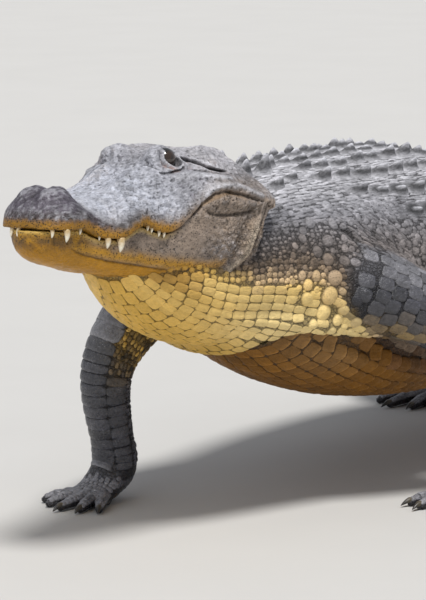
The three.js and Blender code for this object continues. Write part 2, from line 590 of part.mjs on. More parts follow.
// Digits: angle from the foot's heading (towards the inner side), start across the palm, length, and whether it has a claw.
const FINGERS = [
  [34, 0.024, 0.045, true],
  [17, 0.014, 0.056, true],
  [1, 0.002, 0.062, true],
  [-17, -0.011, 0.054, false],
  [-38, -0.022, 0.043, false],
];
const TOES = [
  [17, 0.026, 0.07, true],
  [6, 0.01, 0.092, true],
  [-6, -0.008, 0.098, true],
  [-19, -0.024, 0.08, false],
];
function footSolid(limb) {
  const f = limb.foot,
    yaw = THREE.MathUtils.degToRad(f.yaw);
  const fwd = V(Math.cos(yaw), Math.sin(yaw), 0),
    // towards the animal's midline: right feet look to -Y, left feet to +Y
    inner = V(0, -f.mirror, 0);
  const lateral = V(-fwd.y, fwd.x, 0);
  if (lateral.dot(inner) < 0) lateral.negate();
  const wrist = limb.path[3];
  const centre = V(f.x, f.y, 0);
  const reach = f.fore ? 0.03 : 0.05; // palm half length
  const width = f.fore ? 0.034 : 0.036;
  const stations = [
    [wrist.clone().add(V(0, 0, 0.012)), 0.034, 0.03],
    [wrist.clone().add(V(0, 0, -0.012)), 0.034, 0.032],
    [wrist.clone().lerp(centre, 0.5).setZ(Math.max(0.034, 0.52 * wrist.z)), width, 0.03],
    [centre.clone().setZ(0.02), width + 0.003, 0.021],
    [centre.clone().addScaledVector(fwd, reach).setZ(0.013), width + 0.002, 0.013],
  ];
  const rings = stations.map(([c, w, h], i) => {
    const next = stations[Math.min(i + 1, stations.length - 1)][0],
      prev = stations[Math.max(i - 1, 0)][0];
    const t = next.clone().sub(prev).normalize();
    const up = new THREE.Vector3().crossVectors(t, lateral).normalize();
    return Array.from({ length: 8 }, (_, j) => {
      const q = (Math.PI * 2 * j) / 8;
      return c.clone().addScaledVector(lateral, w * Math.cos(q)).addScaledVector(up, h * Math.sin(q));
    });
  });
  const list = [toSolid(skinOver(rings))];
  const claws = [];
  const digits = f.fore ? FINGERS : TOES;
  digits.forEach(([angle, start, length, clawed], i) => {
    const turn = THREE.MathUtils.degToRad(angle);
    const d = fwd.clone().multiplyScalar(Math.cos(turn)).addScaledVector(lateral, Math.sin(turn));
    const dir = Math.atan2(d.y, d.x);
    const root = centre
      .clone()
      .addScaledVector(fwd, reach * 0.55)
      .addScaledVector(lateral, start)
      .setZ(0.74 * (f.fore ? 0.0115 : 0.0135));
    const r0 = f.fore ? 0.0115 : 0.0135,
      r1 = f.fore ? 0.0075 : 0.0085;
    const full = length + reach * 0.45;
    list.push(digit(root, dir, full, r0, r1, 0.004));
    if (clawed) claws.push(claw(root, dir, f.fore ? 0.017 : 0.021, 0.0052, full - 0.001, r1, 0.0065));
  });
  // web between the toes of the hind foot: a thin fan
  const web = [];
  const top = digits.map(([angle, start, length]) => {
    const turn = THREE.MathUtils.degToRad(angle);
    const d = fwd.clone().multiplyScalar(Math.cos(turn)).addScaledVector(lateral, Math.sin(turn));
    return centre
      .clone()
      .addScaledVector(fwd, reach * 0.55)
      .addScaledVector(lateral, start)
      .addScaledVector(d, (length + reach * 0.45) * (f.fore ? 0.42 : 0.55));
  });
  if (f.fore) return { solid: union(list), claws };
  const shape = new THREE.Shape([
    new THREE.Vector2(centre.x * MM, centre.y * MM),
    ...top.map((p) => new THREE.Vector2(p.x * MM, p.y * MM)),
  ]);
  const sheet = new THREE.ExtrudeGeometry(shape, { depth: 0.005 * MM, bevelEnabled: false });
  sheet.translate(0, 0, 0.003 * MM);
  web.push(toSolid(sheet));
  return { solid: union([...list, ...web]), claws };
}

// ---------------------------------------------------------------- pieces
const COLOURS = {
  skin_back: [0x55565a, 0.62],
  skin_head: [0x6b6c72, 0.5],
  skin_throat: [0xa58a4c, 0.6],
  skin_limb: [0x2b2c30, 0.45],
  eye: [0x2a2014, 0.08],
  claw: [0x1b1a19, 0.35],
};
const alligator = new THREE.Group();
function place(name, solid, slot) {
  const [hex, roughness] = COLOURS[slot];
  const mesh = new THREE.Mesh(toGeometry(solid), new THREE.MeshStandardMaterial({ color: hex, roughness, metalness: 0 }));
  mesh.name = name;
  alligator.add(mesh);
}

const upper = headUpper();
const upperBig = skullSolid(GAP);
const teethBig = [1, -1].flatMap((sgn) => TEETH.filter(([, , , only]) => !only || only === sgn).map(([a, length, radius]) => toothSolid(a, sgn, length, radius, GAP)));
const lower = largest(jawSolid(0).subtract(union(teethBig)));
const lowerBig = jawSolid(GAP);
place("head_upper", upper, "skin_head");
place("lower_jaw", lower, "skin_throat");
for (const [name, sgn] of [["eye_left", 1], ["eye_right", -1]])
  place(name, ball(headPoint(EYE.a, sgn * EYE.b, EYE.z), [EYE.r * HEAD_SCALE, EYE.r * HEAD_SCALE, EYE.r * HEAD_SCALE], axesOfHead, 10), "eye");

// Cuts across the body, from the neck back.
const CUTS = { neck: 0.6, hips: 1.44, tail: [1.8, 2.16, 2.56] };
let neck = trunkSolid(0.187, CUTS.neck - GAP / 2, 16, 0, false);
// nuchal shield: pairs of tall keels on the neck
const NUCHALS = [
  [0.455, 0.02, 0.012, 0.018],
  [0.49, 0.03, 0.024, 0.03],
  [0.536, 0.034, 0.026, 0.03],
  [0.512, 0.075, 0.014, 0.022],
  [0.574, 0.022, 0.016, 0.024],
];
const nuchalList = [];
for (const [s, u, height, length] of NUCHALS)
  for (const sgn of [1, -1]) {
    const w = bodyW(s),
      mid = bodyMid(s),
      ht = bodyTop(s) - mid;
    const z = mid + ht * Math.pow(1 - Math.pow(u / w, 2.1), 1 / 2.1);
    const at = (ds, du, dz) => bodyPoint(s + ds, sgn * (u + du), z + dz);
    const l = length / 2;
    const ring = [at(-l, -0.011, -0.01), at(-l, 0.011, -0.012), at(l, 0.012, -0.012), at(l, -0.012, -0.01)];
    nuchalList.push(toSolid(skinOver([ring, [at(-l * 0.5, -0.004, height * 0.45), at(-l * 0.5, 0.004, height * 0.45), at(l * 0.75, 0.003, height), at(l * 0.75, -0.003, height)]])));
  }
neck = union([neck, ...nuchalList]).subtract(upperBig).subtract(lowerBig);
place("neck", largest(neck), "skin_throat");

const trunk = trunkSolid(CUTS.neck + GAP / 2, CUTS.hips - GAP / 2, 20, 0, true);
// grown copies that cut the limbs where they meet the body
const neckBig = trunkSolid(0.187, CUTS.neck - GAP / 2, 16, GAP, false);
const trunkBig = trunkSolid(CUTS.neck + GAP / 2, CUTS.hips - GAP / 2, 20, GAP, true);
place("trunk", trunk, "skin_back");
const tailCuts = [CUTS.hips, ...CUTS.tail, BODY_LENGTH];
["tail_base", "tail_middle", "tail_rear", "tail_tip"].forEach((name, i) => {
  const t = tailSolid(tailCuts[i] + GAP / 2, tailCuts[i + 1] - (i < 3 ? GAP / 2 : 0), 0);
  place(name, t, "skin_back");
});

const tailBig = tailSolid(CUTS.hips + GAP / 2, CUTS.tail[0] - GAP / 2, GAP);
for (const limb of Object.values(LIMBS)) {
  const p = limb.path;
  const foot = footSolid(limb);
  const whole = union([limbTube(p, limb.radii, 8, 9), foot.solid])
    .intersect(floorSide)
    .subtract(neckBig)
    .subtract(trunkBig)
    .subtract(tailBig);
  const elbow = p[2],
    wrist = p[3];
  const bend = elbow.clone().sub(p[1]).normalize().add(wrist.clone().sub(elbow).normalize()).normalize();
  const down = wrist.clone().sub(elbow).normalize().add(V(0, 0, -1)).normalize();
  const wristCut = wrist.clone().add(V(0, 0, 0.012));
  const upperPart = whole.intersect(side(elbow, bend.clone().negate(), GAP / 2));
  const rest = whole.intersect(side(elbow, bend, GAP / 2));
  const middle = rest.intersect(side(wristCut, down.clone().negate(), GAP / 2));
  let end = rest.intersect(side(wristCut, down, GAP / 2));
  let clawAll = foot.claws.map((c) => c.intersect(floorSide));
  // each claw keeps its own place in the end of its digit
  foot.claws.forEach((c) => (end = end.subtract(c)));
  place(limb.names[0], largest(upperPart), "skin_limb");
  place(limb.names[1], largest(middle), "skin_limb");
  const endSolid = largest(end);
  place(limb.names[2], endSolid, "skin_limb");
  clawAll.forEach((c, i) => place("claw_" + limb.names[2] + "_" + (i + 1), largest(c), "claw"));
}

// The middle of the whole figure's box stands over the origin, its lowest points at Z 0.
const box = new THREE.Box3().setFromObject(alligator);
const middle = box.getCenter(new THREE.Vector3());
alligator.children.forEach((mesh) => mesh.geometry.translate(-middle.x, -middle.y, -box.min.z));

export default alligator;
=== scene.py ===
"""Looks for the still american alligator: one skin over all nodes of flesh, solid scales over it, eyes, teeth and claws.

Metres, +Z up, floor at Z 0, the animal heads towards -X and its left side faces -Y.
"""

import bpy
import math
import numpy as np
from concurrent.futures import ThreadPoolExecutor
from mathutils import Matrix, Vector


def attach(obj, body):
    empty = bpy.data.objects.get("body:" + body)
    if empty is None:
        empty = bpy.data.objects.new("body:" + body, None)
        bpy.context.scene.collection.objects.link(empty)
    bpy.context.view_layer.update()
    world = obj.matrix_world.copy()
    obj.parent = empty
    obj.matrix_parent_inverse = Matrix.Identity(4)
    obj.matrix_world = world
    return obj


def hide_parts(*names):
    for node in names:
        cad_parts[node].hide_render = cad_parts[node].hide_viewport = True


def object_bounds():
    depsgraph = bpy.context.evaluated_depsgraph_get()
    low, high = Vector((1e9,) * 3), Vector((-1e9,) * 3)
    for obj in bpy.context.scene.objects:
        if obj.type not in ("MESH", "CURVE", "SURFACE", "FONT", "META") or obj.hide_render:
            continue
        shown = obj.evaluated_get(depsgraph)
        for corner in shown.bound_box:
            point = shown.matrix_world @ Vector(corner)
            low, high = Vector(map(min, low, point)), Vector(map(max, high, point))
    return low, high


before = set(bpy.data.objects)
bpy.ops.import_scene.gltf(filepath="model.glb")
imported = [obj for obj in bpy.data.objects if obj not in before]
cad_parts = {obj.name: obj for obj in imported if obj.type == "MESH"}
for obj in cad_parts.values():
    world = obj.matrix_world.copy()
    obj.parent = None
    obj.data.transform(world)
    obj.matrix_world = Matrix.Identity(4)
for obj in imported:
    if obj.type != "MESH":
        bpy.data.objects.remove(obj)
CAD_LO, CAD_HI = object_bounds()
CAD_LO_NP, CAD_HI_NP = np.array(CAD_LO), np.array(CAD_HI)

# geometry: begin
rng = np.random.default_rng(7)
TAU = 2 * math.pi

# ---------------------------------------------------------------- the animal's sizes, as in the solids
SHIFT = np.array([-0.7932442, 0.0199499, 0.0])  # from above the shoulders to the frame's origin
BODY_LENGTH = 2.96
SHOULDER_S = 0.655
HEAD_SCALE = 0.935
MOUTH_Z = 0.4727
HEAD_PITCH = math.radians(5.2)
HEAD_ROLL = math.radians(1.0)


def profile(rows, column, n=4000):
    """A smooth curve through a few named sizes, monotone between them."""
    xs = np.array([r[0] for r in rows], float)
    ys = np.array([r[column] for r in rows], float)
    slope = np.diff(ys) / np.diff(xs)
    tan = np.zeros(len(xs))
    tan[0], tan[-1] = slope[0], slope[-1]
    a, b = slope[:-1], slope[1:]
    tan[1:-1] = np.where(a * b <= 0, 0.0, 2 * a * b / np.where(a + b == 0, 1, a + b))
    g = np.linspace(xs[0], xs[-1], n)
    i = np.clip(np.searchsorted(xs, g, side="right") - 1, 0, len(xs) - 2)
    h = xs[i + 1] - xs[i]
    t = (g - xs[i]) / h
    t2, t3 = t * t, t * t * t
    v = (2 * t3 - 3 * t2 + 1) * ys[i] + (t3 - 2 * t2 + t) * h * tan[i] + (-2 * t3 + 3 * t2) * ys[i + 1] + (t3 - t2) * h * tan[i + 1]
    return lambda x: np.interp(x, g, v)


# distance behind the snout tip, half width, top, bottom, height of the widest line, roundness above and below
BODY = [
    [0.185, 0.024, 0.43, 0.405, 0.42, 2, 2],
    [0.195, 0.046, 0.432, 0.382, 0.415, 2, 2],
    [0.222, 0.068, 0.435, 0.35, 0.405, 2, 2],
    [0.265, 0.088, 0.44, 0.314, 0.395, 2, 2.1],
    [0.315, 0.105, 0.45, 0.288, 0.385, 2, 2.2],
    [0.365, 0.117, 0.46, 0.27, 0.375, 2, 2.2],
    [0.42, 0.13, 0.49, 0.259, 0.372, 2.1, 2.2],
    [0.5, 0.148, 0.506, 0.231, 0.365, 2.1, 2.2],
    [0.58, 0.166, 0.51, 0.196, 0.35, 2.1, 2.2],
    [0.68, 0.186, 0.509, 0.16, 0.33, 2.1, 2.2],
    [0.78, 0.202, 0.511, 0.135, 0.31, 2.1, 2.2],
    [0.9, 0.212, 0.509, 0.121, 0.3, 2.1, 2.2],
    [1.04, 0.215, 0.489, 0.118, 0.295, 2.1, 2.3],
    [1.16, 0.208, 0.461, 0.128, 0.295, 2.1, 2.3],
    [1.28, 0.185, 0.433, 0.152, 0.3, 2.1, 2.2],
    [1.38, 0.158, 0.408, 0.176, 0.3, 2.1, 2.1],
    [1.48, 0.128, 0.375, 0.184, 0.285, 2.2, 2.1],
    [1.6, 0.105, 0.33, 0.16, 0.25, 2.3, 2.1],
    [1.8, 0.082, 0.262, 0.095, 0.18, 2.3, 2.1],
    [2.0, 0.063, 0.202, 0.035, 0.115, 2.3, 2.1],
    [2.18, 0.049, 0.155, -0.004, 0.072, 2.3, 2.2],
    [2.4, 0.034, 0.113, -0.011, 0.05, 2.2, 2.2],
    [2.66, 0.02, 0.07, -0.006, 0.03, 2.1, 2.1],
    [2.96, 0.004, 0.014, -0.003, 0.006, 2, 2],
]
bodyW, bodyTop, bodyBot, bodyMid, bodyNT, bodyNB = (profile(BODY, c) for c in range(1, 7))
HEADING = [[0, 0.9], [0.45, 0.9], [0.7, 0], [1.0, 0], [1.36, 3], [1.7, 13], [2.05, 9], [2.45, -14], [2.96, -36]]
heading = profile(HEADING, 1)
STEP = 0.005
PS = np.arange(0, BODY_LENGTH + STEP * 1.5, STEP)
_b = np.radians(heading(PS[:-1] + STEP / 2))
PX = np.concatenate([[0], np.cumsum(STEP * np.cos(_b))])
PY = np.concatenate([[0], np.cumsum(-STEP * np.sin(_b))])
_k = round(SHOULDER_S / STEP)
PX, PY = PX - PX[_k] + SHIFT[0], PY - PY[_k] + SHIFT[1]


def spine(s):
    """Place of the spine in plan and the turn of its heading, at a distance behind the snout tip."""
    return np.interp(s, PS, PX), np.interp(s, PS, PY), np.radians(heading(s))


def body_point(s, u, z):
    x, y, b = spine(s)
    return np.stack([x - u * np.sin(b), y - u * np.cos(b), z + 0 * x], -1)


def body_coords(P):
    """Distance along the spine, offset to the left, and how far a point lies past either end."""
    s = np.interp(P[:, 0], PX, PS)
    for _ in range(3):
        s = np.clip(s, 0, BODY_LENGTH)
        x, y, b = spine(s)
        ex, ey = P[:, 0] - x, P[:, 1] - y
        s = s + ex * np.cos(b) - ey * np.sin(b)
    sc = np.clip(s, 0, BODY_LENGTH)
    x, y, b = spine(sc)
    ex, ey = P[:, 0] - x, P[:, 1] - y
    return sc, -ex * np.sin(b) - ey * np.cos(b), s - sc


def oval(u, v, w, h, n):
    """Distance to a superellipse, exact near its outline."""
    au, av = np.abs(u) / w, np.abs(v) / h
    g = np.maximum((au**n + av**n) ** (1 / n), 1e-5)
    k = g ** (1 - n)
    return (g - 1) / np.sqrt((au ** (n - 1) * k / w) ** 2 + (av ** (n - 1) * k / h) ** 2 + 1e-9)


def bump(x, c, w):
    return np.exp(-(((x - c) / w) ** 2))


def smooth(x, a, b):
    t = np.clip((x - a) / (b - a), 0, 1)
    return t * t * (3 - 2 * t)


def smin(a, b, k):
    h = np.maximum(k - np.abs(a - b), 0) / k
    return np.minimum(a, b) - h * h * k * 0.25


def smax(a, b, k):
    return -smin(-a, -b, k)


def waves(P, scale, seed, n=7):
    """Soft noise between about -1 and 1, as a sum of sines in many directions."""
    r = np.random.default_rng(seed)
    out = 0
    for _ in range(n):
        d = r.normal(size=3)
        d /= np.linalg.norm(d)
        f = TAU / scale * r.uniform(0.6, 1.6)
        out = out + np.sin(P @ (d * f) + r.uniform(0, TAU) + 1.3 * np.sin(P @ (np.roll(d, 1) * f * 0.6) + r.uniform(0, TAU)))
    return out / (0.75 * n)


SKIN_DEPTH = 0.0026  # how far the hide lies below the tops of the scales


FOLD_ANG = np.array([90, 104, 113, 119, 122, 128, 141, 171, 180.0])
FOLD_S = np.array([0.76, 0.72, 0.665, 0.6, 0.535, 0.483, 0.456, 0.456, 0.456])
_ang = np.linspace(85, 180, 96)
_fs = np.interp(_ang, FOLD_ANG, FOLD_S)
for _ in range(12):
    _fs[1:-1] = (_fs[:-2] + 2 * _fs[1:-1] + _fs[2:]) / 4
_slope = np.gradient(_fs, _ang) / 0.0031


def fold_offset(s, ang):
    """Distance behind the edge of the throat's pouch, along the hide."""
    return (s - np.interp(ang, _ang, _fs)) / np.sqrt(1 + np.interp(ang, _ang, _slope) ** 2)


def d_body(P, full=False):
    s, u, over = body_coords(P)
    mid = bodyMid(s)
    v = P[:, 2] - mid
    up = v >= 0
    h = np.where(up, bodyTop(s) - mid, mid - bodyBot(s))
    n = np.where(up, bodyNT(s), bodyNB(s))
    d = oval(u, v, bodyW(s), h, n) + SKIN_DEPTH * smooth(bodyW(s), 0.0, 0.03)
    # slack folds of the throat, the neck and the flank
    ang = np.degrees(np.arctan2(np.abs(u), v))
    soft = smooth(s, 0.45, 0.6) * (1 - smooth(s, 1.5, 1.9)) * smooth(ang, 60, 85) * (1 - smooth(ang, 118, 140))
    d = d + soft * 0.0016 * waves(P, 0.11, 3)
    # the throat's pouch hangs over the chest and ends in an overhanging fold
    off = fold_offset(s, ang)
    on = smooth(ang, 92, 112)
    d = d - 0.009 * bump(off, -0.02, 0.024) * on
    d = d + 0.013 * smooth(off, -0.003, 0.004) * (1 - smooth(off, 0.03, 0.12)) * on
    d = d + 0.006 * bump(off, 0.0035, 0.005) * on
    # fold that runs up from the armpit over the shoulder
    d = d + 0.0075 * bump(s, 0.575 + 0.0021 * (ang - 60), 0.009) * smooth(ang, 56, 66) * (1 - smooth(ang, 80, 90))
    d = np.where(over > 0, np.maximum(d, over), d)
    d = np.maximum(d, 0.187 - s)
    if full:
        return d, s, u, v
    return d


# ---------------------------------------------------------------- head
SKULL = [
    [0, 0.009, 0.002, 0.018, 0.006, 0.017, 0.009, 0.01],
    [0.006, 0.033, 0.002, 0.034, 0.017, 0.031, 0.0315, 0.018],
    [0.018, 0.0515, 0.002, 0.047, 0.028, 0.043, 0.0485, 0.024],
    [0.036, 0.0615, 0.002, 0.053, 0.034, 0.049, 0.058, 0.027],
    [0.056, 0.0635, 0.0045, 0.0525, 0.035, 0.0485, 0.0605, 0.028],
    [0.08, 0.0625, -0.001, 0.0475, 0.034, 0.0445, 0.059, 0.024],
    [0.105, 0.0725, -0.01, 0.046, 0.04, 0.043, 0.066, 0.022],
    [0.13, 0.082, -0.0105, 0.05, 0.047, 0.0465, 0.075, 0.024],
    [0.16, 0.0865, 0.0015, 0.057, 0.05, 0.0535, 0.08, 0.031],
    [0.18, 0.088, 0.008, 0.063, 0.051, 0.0595, 0.081, 0.036],
    [0.205, 0.092, 0.001, 0.072, 0.052, 0.068, 0.083, 0.038],
    [0.225, 0.097, -0.003, 0.083, 0.05, 0.079, 0.086, 0.042],
    [0.25, 0.104, 0.006, 0.096, 0.049, 0.0925, 0.091, 0.051],
    [0.268, 0.109, 0.021, 0.1025, 0.0485, 0.1, 0.095, 0.062],
    [0.2855, 0.114, 0.034, 0.11, 0.0495, 0.107, 0.099, 0.073],
    [0.31, 0.121, 0.048, 0.1175, 0.053, 0.115, 0.104, 0.082],
    [0.337, 0.127, 0.054, 0.121, 0.057, 0.1185, 0.108, 0.086],
    [0.37, 0.134, 0.047, 0.1225, 0.0585, 0.121, 0.11, 0.084],
    [0.41, 0.139, 0.042, 0.1195, 0.0585, 0.118, 0.109, 0.082],
    [0.44, 0.139, 0.04, 0.105, 0.056, 0.103, 0.106, 0.078],
    [0.46, 0.132, 0.034, 0.084, 0.05, 0.082, 0.1, 0.068],
    [0.475, 0.118, 0.028, 0.062, 0.04, 0.06, 0.085, 0.05],
]
skullW, lipZ, skullTop, edgeW, edgeZ, sideW, sideZ = (profile(SKULL, c) for c in range(1, 8))
JAW = [
    [0.003, 0.011, -0.016, 2],
    [0.008, 0.0125, -0.027, 2],
    [0.02, 0.014, -0.04, 2.2],
    [0.045, 0.014, -0.049, 2.4],
    [0.09, 0.0115, -0.056, 2.6],
    [0.14, 0.0115, -0.064, 2.8],
    [0.2, 0.009, -0.068, 3],
    [0.26, 0.004, -0.074, 3],
    [0.32, 0, -0.08, 3.2],
    [0.36, -0.001, -0.084, 3.4],
    [0.4, -0.001, -0.083, 3.4],
    [0.44, 0.001, -0.066, 3],
    [0.475, 0.004, -0.02, 2.2],
]
jawInset, jawBottom, jawN = (profile(JAW, c) for c in range(1, 4))
EYE = dict(a=0.2845, b=0.0458, z=0.1047, r=0.0168)
LID = dict(ra=0.0132, rb=0.014, rz=0.0106)
LID_DROP = 0.0016
BROW = dict(a=0.2845, b=0.0355, z=0.0975, ra=0.029, rb=0.024, rz=0.0275)
NOSTRIL = dict(a=0.047, b=0.017, z=0.045, ra=0.031, rb=0.022, rz=0.018)
TEETH = [
    [0.0015, 0.0115, 0.0034, -1],
    [0.0045, 0.0125, 0.0036, -1],
    [0.0095, 0.011, 0.0034, 1],
    [0.0255, 0.0165, 0.0052, 1],
    [0.0525, 0.008, 0.0026, 0],
    [0.0935, 0.006, 0.0024, 0],
    [0.1065, 0.014, 0.005, 0],
    [0.128, 0.019, 0.0062, 0],
    [0.1865, 0.0064, 0.0027, 0],
    [0.195, 0.0064, 0.0027, 0],
    [0.2095, 0.0078, 0.0029, 0],
    [0.219, 0.0068, 0.0027, 0],
]

_b0 = math.radians(HEADING[0][1])
FWD = np.array([-math.cos(_b0) * math.cos(HEAD_PITCH), math.sin(_b0) * math.cos(HEAD_PITCH), math.sin(HEAD_PITCH)])
_left = np.array([-math.sin(_b0), -math.cos(_b0), 0.0])
_up = np.cross(FWD, _left)
LEFT = _left * math.cos(HEAD_ROLL) + _up * math.sin(HEAD_ROLL)
UP = np.cross(FWD, LEFT)
TIP = np.array([PX[0], PY[0], MOUTH_Z])


def head_point(a, b, z):
    a, b, z = np.broadcast_arrays(np.asarray(a, float), np.asarray(b, float), np.asarray(z, float))
    return TIP - a[..., None] * HEAD_SCALE * FWD + b[..., None] * HEAD_SCALE * LEFT + z[..., None] * HEAD_SCALE * UP


def head_coords(P):
    q = (P - TIP) / HEAD_SCALE
    return -(q @ FWD), q @ LEFT, q @ UP


def _skull_tables():
    A = np.linspace(0, 0.478, 240)
    w, lip, top, ew, ez, sw, sz = (f(A) for f in (skullW, lipZ, skullTop, edgeW, edgeZ, sideW, sideZ))
    half = [(w, lip), (w, lip + 0.3 * (sz - lip)), (sw, sz), (ew, ez), (0 * w, top)]
    pts = np.array([[y, z] for y, z in half] + [[-y, z] for y, z in half[:4][::-1]])  # 9, 2, M
    ext = np.concatenate([[2 * pts[0] - pts[1]], pts, [2 * pts[-1] - pts[-2]]])
    curve = []
    for i in range(1, 5):
        p0, p1, p2, p3 = ext[i - 1], ext[i], ext[i + 1], ext[i + 2]
        d0, d1, d2 = (np.maximum(np.sum((q - p) ** 2, 0) ** 0.25, 1e-4) for p, q in ((p0, p1), (p1, p2), (p2, p3)))
        t1 = ((p1 - p0) / d0 - (p2 - p0) / (d0 + d1) + (p2 - p1) / d1) * d1
        t2 = ((p2 - p1) / d1 - (p3 - p1) / (d1 + d2) + (p3 - p2) / d2) * d1
        for t in np.linspace(0, 1, 24, endpoint=i == 4):
            curve.append(p1 + t1 * t + (-3 * p1 + 3 * p2 - 2 * t1 - t2) * t * t + (2 * p1 - 2 * p2 + t1 + t2) * t**3)
    curve = np.array(curve)  # K, 2, M
    under = np.array([[w * t, lip] for t in np.linspace(0, 1, 12, endpoint=False)])
    line = np.concatenate([under, curve])
    zc = lip + 0.36 * (top - lip)
    phi = np.radians(np.linspace(-90, 90, 181))
    R = np.zeros((len(A), len(phi)))
    for m in range(len(A)):
        y, z = line[:, 0, m], line[:, 1, m] - zc[m]
        ang = np.maximum.accumulate(np.arctan2(z, np.maximum(y, 0)) + np.arange(len(y)) * 1e-9)
        R[m] = np.interp(phi, ang, np.hypot(y, z))
    for _ in range(2):
        R[:, 1:-1] = 0.25 * R[:, :-2] + 0.5 * R[:, 1:-1] + 0.25 * R[:, 2:]
    gp = np.gradient(R, phi, axis=1) / R
    ga = np.gradient(R, A, axis=0)
    return A, zc, R, 1 / np.sqrt(1 + gp**2 + ga**2)


SK_A, SK_C, SK_R, SK_G = _skull_tables()


def look_up(T, i, j):
    i = np.clip(i, 0, T.shape[0] - 1.001)
    j = np.clip(j, 0, T.shape[1] - 1.001)
    a, b = i.astype(int), j.astype(int)
    f, g = i - a, j - b
    return T[a, b] * (1 - f) * (1 - g) + T[a + 1, b] * f * (1 - g) + T[a, b + 1] * (1 - f) * g + T[a + 1, b + 1] * f * g


def ellipsoid(p, c, r):
    q = (p - c) / r
    k0 = np.sqrt(np.sum(q * q, -1))
    k1 = np.sqrt(np.sum((q / r) ** 2, -1)) + 1e-9
    return k0 * (k0 - 1) / k1


def line_distance(x, y, points):
    """Distance in a plane to an open line through some points, and the share of the way along it."""
    pts = np.asarray(points, float)
    best, at = np.full(x.shape, 1e9), np.zeros(x.shape)
    seg = np.diff(pts, axis=0)
    length = np.hypot(seg[:, 0], seg[:, 1])
    start = np.concatenate([[0], np.cumsum(length)])
    for i in range(len(seg)):
        t = np.clip(((x - pts[i, 0]) * seg[i, 0] + (y - pts[i, 1]) * seg[i, 1]) / length[i] ** 2, 0, 1)
        d = np.hypot(x - pts[i, 0] - t * seg[i, 0], y - pts[i, 1] - t * seg[i, 1])
        near = d < best
        best = np.where(near, d, best)
        at = np.where(near, (start[i] + t * length[i]) / start[-1], at)
    return best, at


# Lines of the face in side view: distance behind the tip and height, then half width, depth (negative stands out).
FACE_LINES = [
    # crease in front of the lobe before the eye
    ([(0.2495, 0.1185), (0.2465, 0.108), (0.2475, 0.096), (0.2565, 0.0865)], 0.0021, 0.0034),
    # groove below the lower lid
    ([(0.25, 0.0845), (0.259, 0.083), (0.27, 0.0845), (0.281, 0.0885), (0.294, 0.0935)], 0.0021, 0.004),
    # beaded fold of the lower lid above it
    ([(0.262, 0.0905), (0.272, 0.0895), (0.283, 0.0925), (0.294, 0.098)], 0.0019, -0.0022),
    # fold round the back of the eye
    ([(0.301, 0.1165), (0.3045, 0.109), (0.302, 0.101)], 0.0018, 0.0022),
    # cheek ridge below the eye and the ear
    ([(0.258, 0.0755), (0.278, 0.081), (0.3, 0.083), (0.33, 0.081), (0.368, 0.079)], 0.0045, -0.0036),
    # second line under the ear flap
    ([(0.294, 0.0895), (0.31, 0.088), (0.328, 0.0868), (0.345, 0.0845), (0.372, 0.0835)], 0.0018, 0.0028),
    # rim that stands out over the jaw muscle
    ([(0.284, 0.046), (0.298, 0.0595), (0.317, 0.0675), (0.34, 0.07), (0.365, 0.068), (0.385, 0.061), (0.404, 0.0545), (0.424, 0.05)], 0.0055, -0.0042),
    # dark crease under the rim, on from the corner of the mouth
    ([(0.272, 0.02), (0.2785, 0.0265), (0.288, 0.04), (0.2985, 0.0485), (0.313, 0.0555), (0.333, 0.0588), (0.354, 0.0565), (0.383, 0.0505), (0.412, 0.045)], 0.0031, 0.0038),
    # lower edge of the muscle's spindle
    ([(0.294, 0.036), (0.303, 0.028), (0.317, 0.0245), (0.34, 0.0245), (0.368, 0.0275), (0.4, 0.031)], 0.0034, 0.0042),
    # hollow behind the spindle
    ([(0.375, 0.019), (0.392, 0.022), (0.41, 0.03)], 0.005, 0.0024),
    # folds at the back of the jaw
    ([(0.43, 0.048), (0.426, 0.028), (0.41, 0.009), (0.4, -0.0155), (0.398, -0.037), (0.39, -0.053), (0.368, -0.066)], 0.0036, 0.0046),
    ([(0.398, 0.012), (0.388, -0.006), (0.384, -0.03), (0.376, -0.046)], 0.003, 0.0018),
    ([(0.368, 0.006), (0.372, -0.014), (0.366, -0.034)], 0.003, 0.0014),
    # crease along the lower jaw, above its smooth underside
    ([(0.044, -0.0175), (0.052, -0.0225), (0.068, -0.029), (0.0984, -0.0367), (0.1257, -0.0425), (0.195, -0.05), (0.2575, -0.0585), (0.31, -0.068), (0.352, -0.075)], 0.0019, 0.0026),
    # upright cracks of the lip near the front
    ([(0.0185, 0.002), (0.0205, -0.012), (0.026, -0.026)], 0.0014, 0.0028),
    ([(0.033, 0.0), (0.0365, -0.011), (0.044, -0.018)], 0.0013, 0.0022),
    # folds of the snout's side
    ([(0.15, 0.03), (0.165, 0.0365), (0.185, 0.037)], 0.0035, 0.0016),
    ([(0.2, 0.028), (0.222, 0.036), (0.245, 0.036)], 0.004, 0.0016),
    ([(0.205, 0.06), (0.22, 0.066), (0.238, 0.065)], 0.0035, 0.002),
    ([(0.185, 0.048), (0.2, 0.05), (0.215, 0.046)], 0.003, 0.0016),
]
EAR = ([(0.2985, 0.1045), (0.311, 0.1035), (0.321, 0.099), (0.332, 0.0925), (0.352, 0.0885), (0.372, 0.0875)], 0.0034, 0.011)
# Pits and scores of the snout's top and side, seen from above: distance behind the tip, offset, length, width, turn in degrees.
_r = np.random.default_rng(17)
PITS = [(a, b, l, w, t) for a, b, l, w, t in zip(_r.uniform(0.088, 0.262, 70), _r.uniform(-0.07, 0.07, 70), _r.uniform(0.0022, 0.0062, 70), _r.uniform(0.0011, 0.0022, 70), _r.uniform(-25, 25, 70))]


